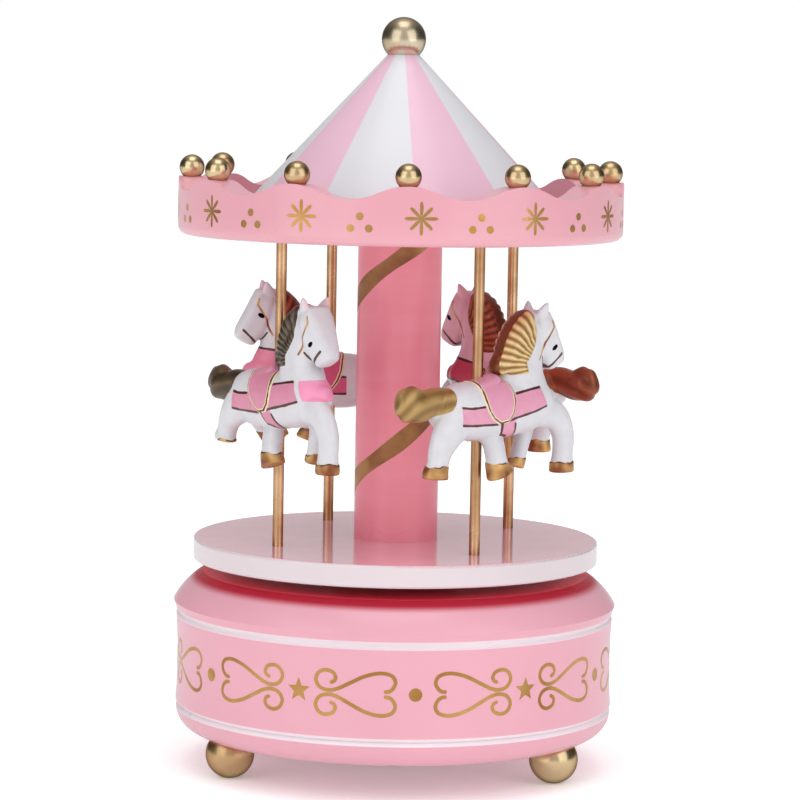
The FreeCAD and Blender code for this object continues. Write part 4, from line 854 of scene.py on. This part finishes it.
def makeHorse(name, d):
    mesh, limbs = carveHorse(name, d)
    paintHorse(mesh, limbs, d)
    mesh.name = "carved_horse_" + name
    around = math.radians(d["degrees"])
    spot = Vector((math.cos(around), math.sin(around), 0)) * (horseRing["poleCircle"] + horseRing["out"])
    spot.z = horseRing["deck"] + d["lift"]
    place = Matrix.Translation(spot) @ Matrix.Rotation(around + math.radians(90 + d["yaw"]), 4, "Z")
    mesh.transform(Matrix.Scale(mm, 4) @ place)
    mesh.materials.clear()
    mesh.materials.append(makeHorsePaint(name, d))
    piece = linkObject("carved_horse_" + name, mesh)
    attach(piece, "carousel")
    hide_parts("horse_" + name)
    print("horse carved:", name, len(mesh.polygons), "faces")


for name, details in horses.items():
    makeHorse(name, {**plainHorse, **details})


# Studio: a wide white floor, two tall softboxes in front and one overhead.
studio = {"floor": 60.0, "floorMirror": 0.62, "floorGlow": 0.2, "background": 1.0, "fillLow": 0.3,
          "fillHigh": 1.2, "mirrorLow": 0.5, "mirrorHigh": 0.55, "flag": 0.08, "flagFrom": 0.15,
          "flagTo": 0.75,
          "boxes": [("leftSoftbox", (-0.78, -0.84, 0.55), (1.0, 1.2), 4.2),
                    ("rightSoftbox", (0.82, -0.8, 0.55), (1.0, 1.2), 4.2),
                    ("overheadSoftbox", (0.0, -0.1, 1.35), (0.8, 0.8), 2.6)],
          "aim": (0.0, 0.0, 0.09)}


def makeFloor():
    # Matt white paper that glows a little, and is dimmer in reflections, as on a table.
    d = studio
    half = d["floor"] / 2
    corners = [(-half, -half, 0), (half, -half, 0), (half, half, 0), (-half, half, 0)]
    floor = newObject("paleFloor", corners, [[0, 1, 2, 3]])
    material, tree, shader, place = startMaterial("mattWhitePaper",
                                                  {"Roughness": 0.9, "Emission Color": linear("#FFFFFF"),
                                                   "Emission Strength": d["floorGlow"]})
    grain = addNode(tree, "TexNoise", {"Scale": perMetre(30.0), "Detail": 2.0}, {"Vector": place})
    colour = addNode(tree, "Mix", {"data_type": "RGBA", 6: linear("#F8F8F8"), 7: linear("#FCFCFC")},
                     {0: grain.outputs["Fac"]})
    rays = addNode(tree, "LightPath").outputs["Is Glossy Ray"]
    dim = addNode(tree, "MapRange", {"To Min": 1.0, "To Max": d["floorMirror"]}, {"Value": rays})
    shown = addNode(tree, "Mix", {"data_type": "RGBA", "blend_type": "MULTIPLY", 0: 1.0},
                    {6: colour.outputs[2], 7: dim.outputs["Result"]})
    tree.links.new(shown.outputs[2], shader.inputs["Base Color"])
    floor.data.materials.append(material)


def makeRoom():
    # A white room, brighter overhead, whose reflection has dark flags at the sides.
    d = studio
    world = bpy.data.worlds.new("studioWorld")
    bpy.context.scene.world = world
    world.use_nodes = True
    tree = world.node_tree
    shader = tree.nodes["Background"]
    rays = addNode(tree, "LightPath").outputs
    way = addNode(tree, "SeparateXYZ", {}, {0: addNode(tree, "TexCoord").outputs["Generated"]}).outputs
    fill = addNode(tree, "MapRange", {"To Min": d["fillLow"], "To Max": d["fillHigh"]}, {"Value": way["Z"]})
    mirror = addNode(tree, "MapRange", {"To Min": d["mirrorLow"], "To Max": d["mirrorHigh"]},
                     {"Value": way["Z"]})
    across = addNode(tree, "Math", {"operation": "ABSOLUTE"}, {0: way["X"]})
    flags = addNode(tree, "MapRange", {"From Min": d["flagFrom"], "From Max": d["flagTo"], "To Min": 1.0,
                                       "To Max": d["flag"]}, {"Value": across.outputs[0]})
    mirror = addNode(tree, "Math", {"operation": "MULTIPLY"},
                     {0: mirror.outputs["Result"], 1: flags.outputs["Result"]})
    soft = addNode(tree, "Mix", {"data_type": "FLOAT"},
                   {0: rays["Is Glossy Ray"], 2: fill.outputs["Result"], 3: mirror.outputs[0]})
    level = addNode(tree, "Mix", {"data_type": "FLOAT", 3: d["background"]},
                    {0: rays["Is Camera Ray"], 2: soft.outputs[0]})
    shader.inputs["Color"].default_value = linear("#FFFFFF")
    tree.links.new(level.outputs[0], shader.inputs["Strength"])


def makeLights():
    for name, spot, size, power in studio["boxes"]:
        light = bpy.data.lights.new(name, "AREA")
        light.shape, light.size, light.size_y, light.energy = "RECTANGLE", size[0], size[1], power
        lamp = linkObject(name, light)
        lamp.location = spot
        lamp.rotation_euler = (Vector(studio["aim"]) - Vector(spot)).to_track_quat("-Z", "Y").to_euler()


# The photograph's view: nearly level, from a little above, with a slight roll.
view = {"spot": (0.0, -0.8136, 0.1676), "lens": 152.2, "sensor": 36.0, "tilt": 84.45, "roll": 0.98,
        "shift": 0.0028}


def makeCamera():
    d = view
    lens = bpy.data.cameras.new("photoCamera")
    lens.lens, lens.sensor_width, lens.shift_x = d["lens"], d["sensor"], d["shift"]
    camera = linkObject("photoCamera", lens)
    camera.matrix_world = (Matrix.Translation(d["spot"]) @ Matrix.Rotation(math.radians(d["tilt"]), 4, "X")
                           @ Matrix.Rotation(math.radians(d["roll"]), 4, "Z"))
    bpy.context.scene.camera = camera
    bpy.context.scene.view_settings.view_transform = "Standard"


makeFloor()
makeRoom()
makeLights()
makeCamera()
print("scene ready")
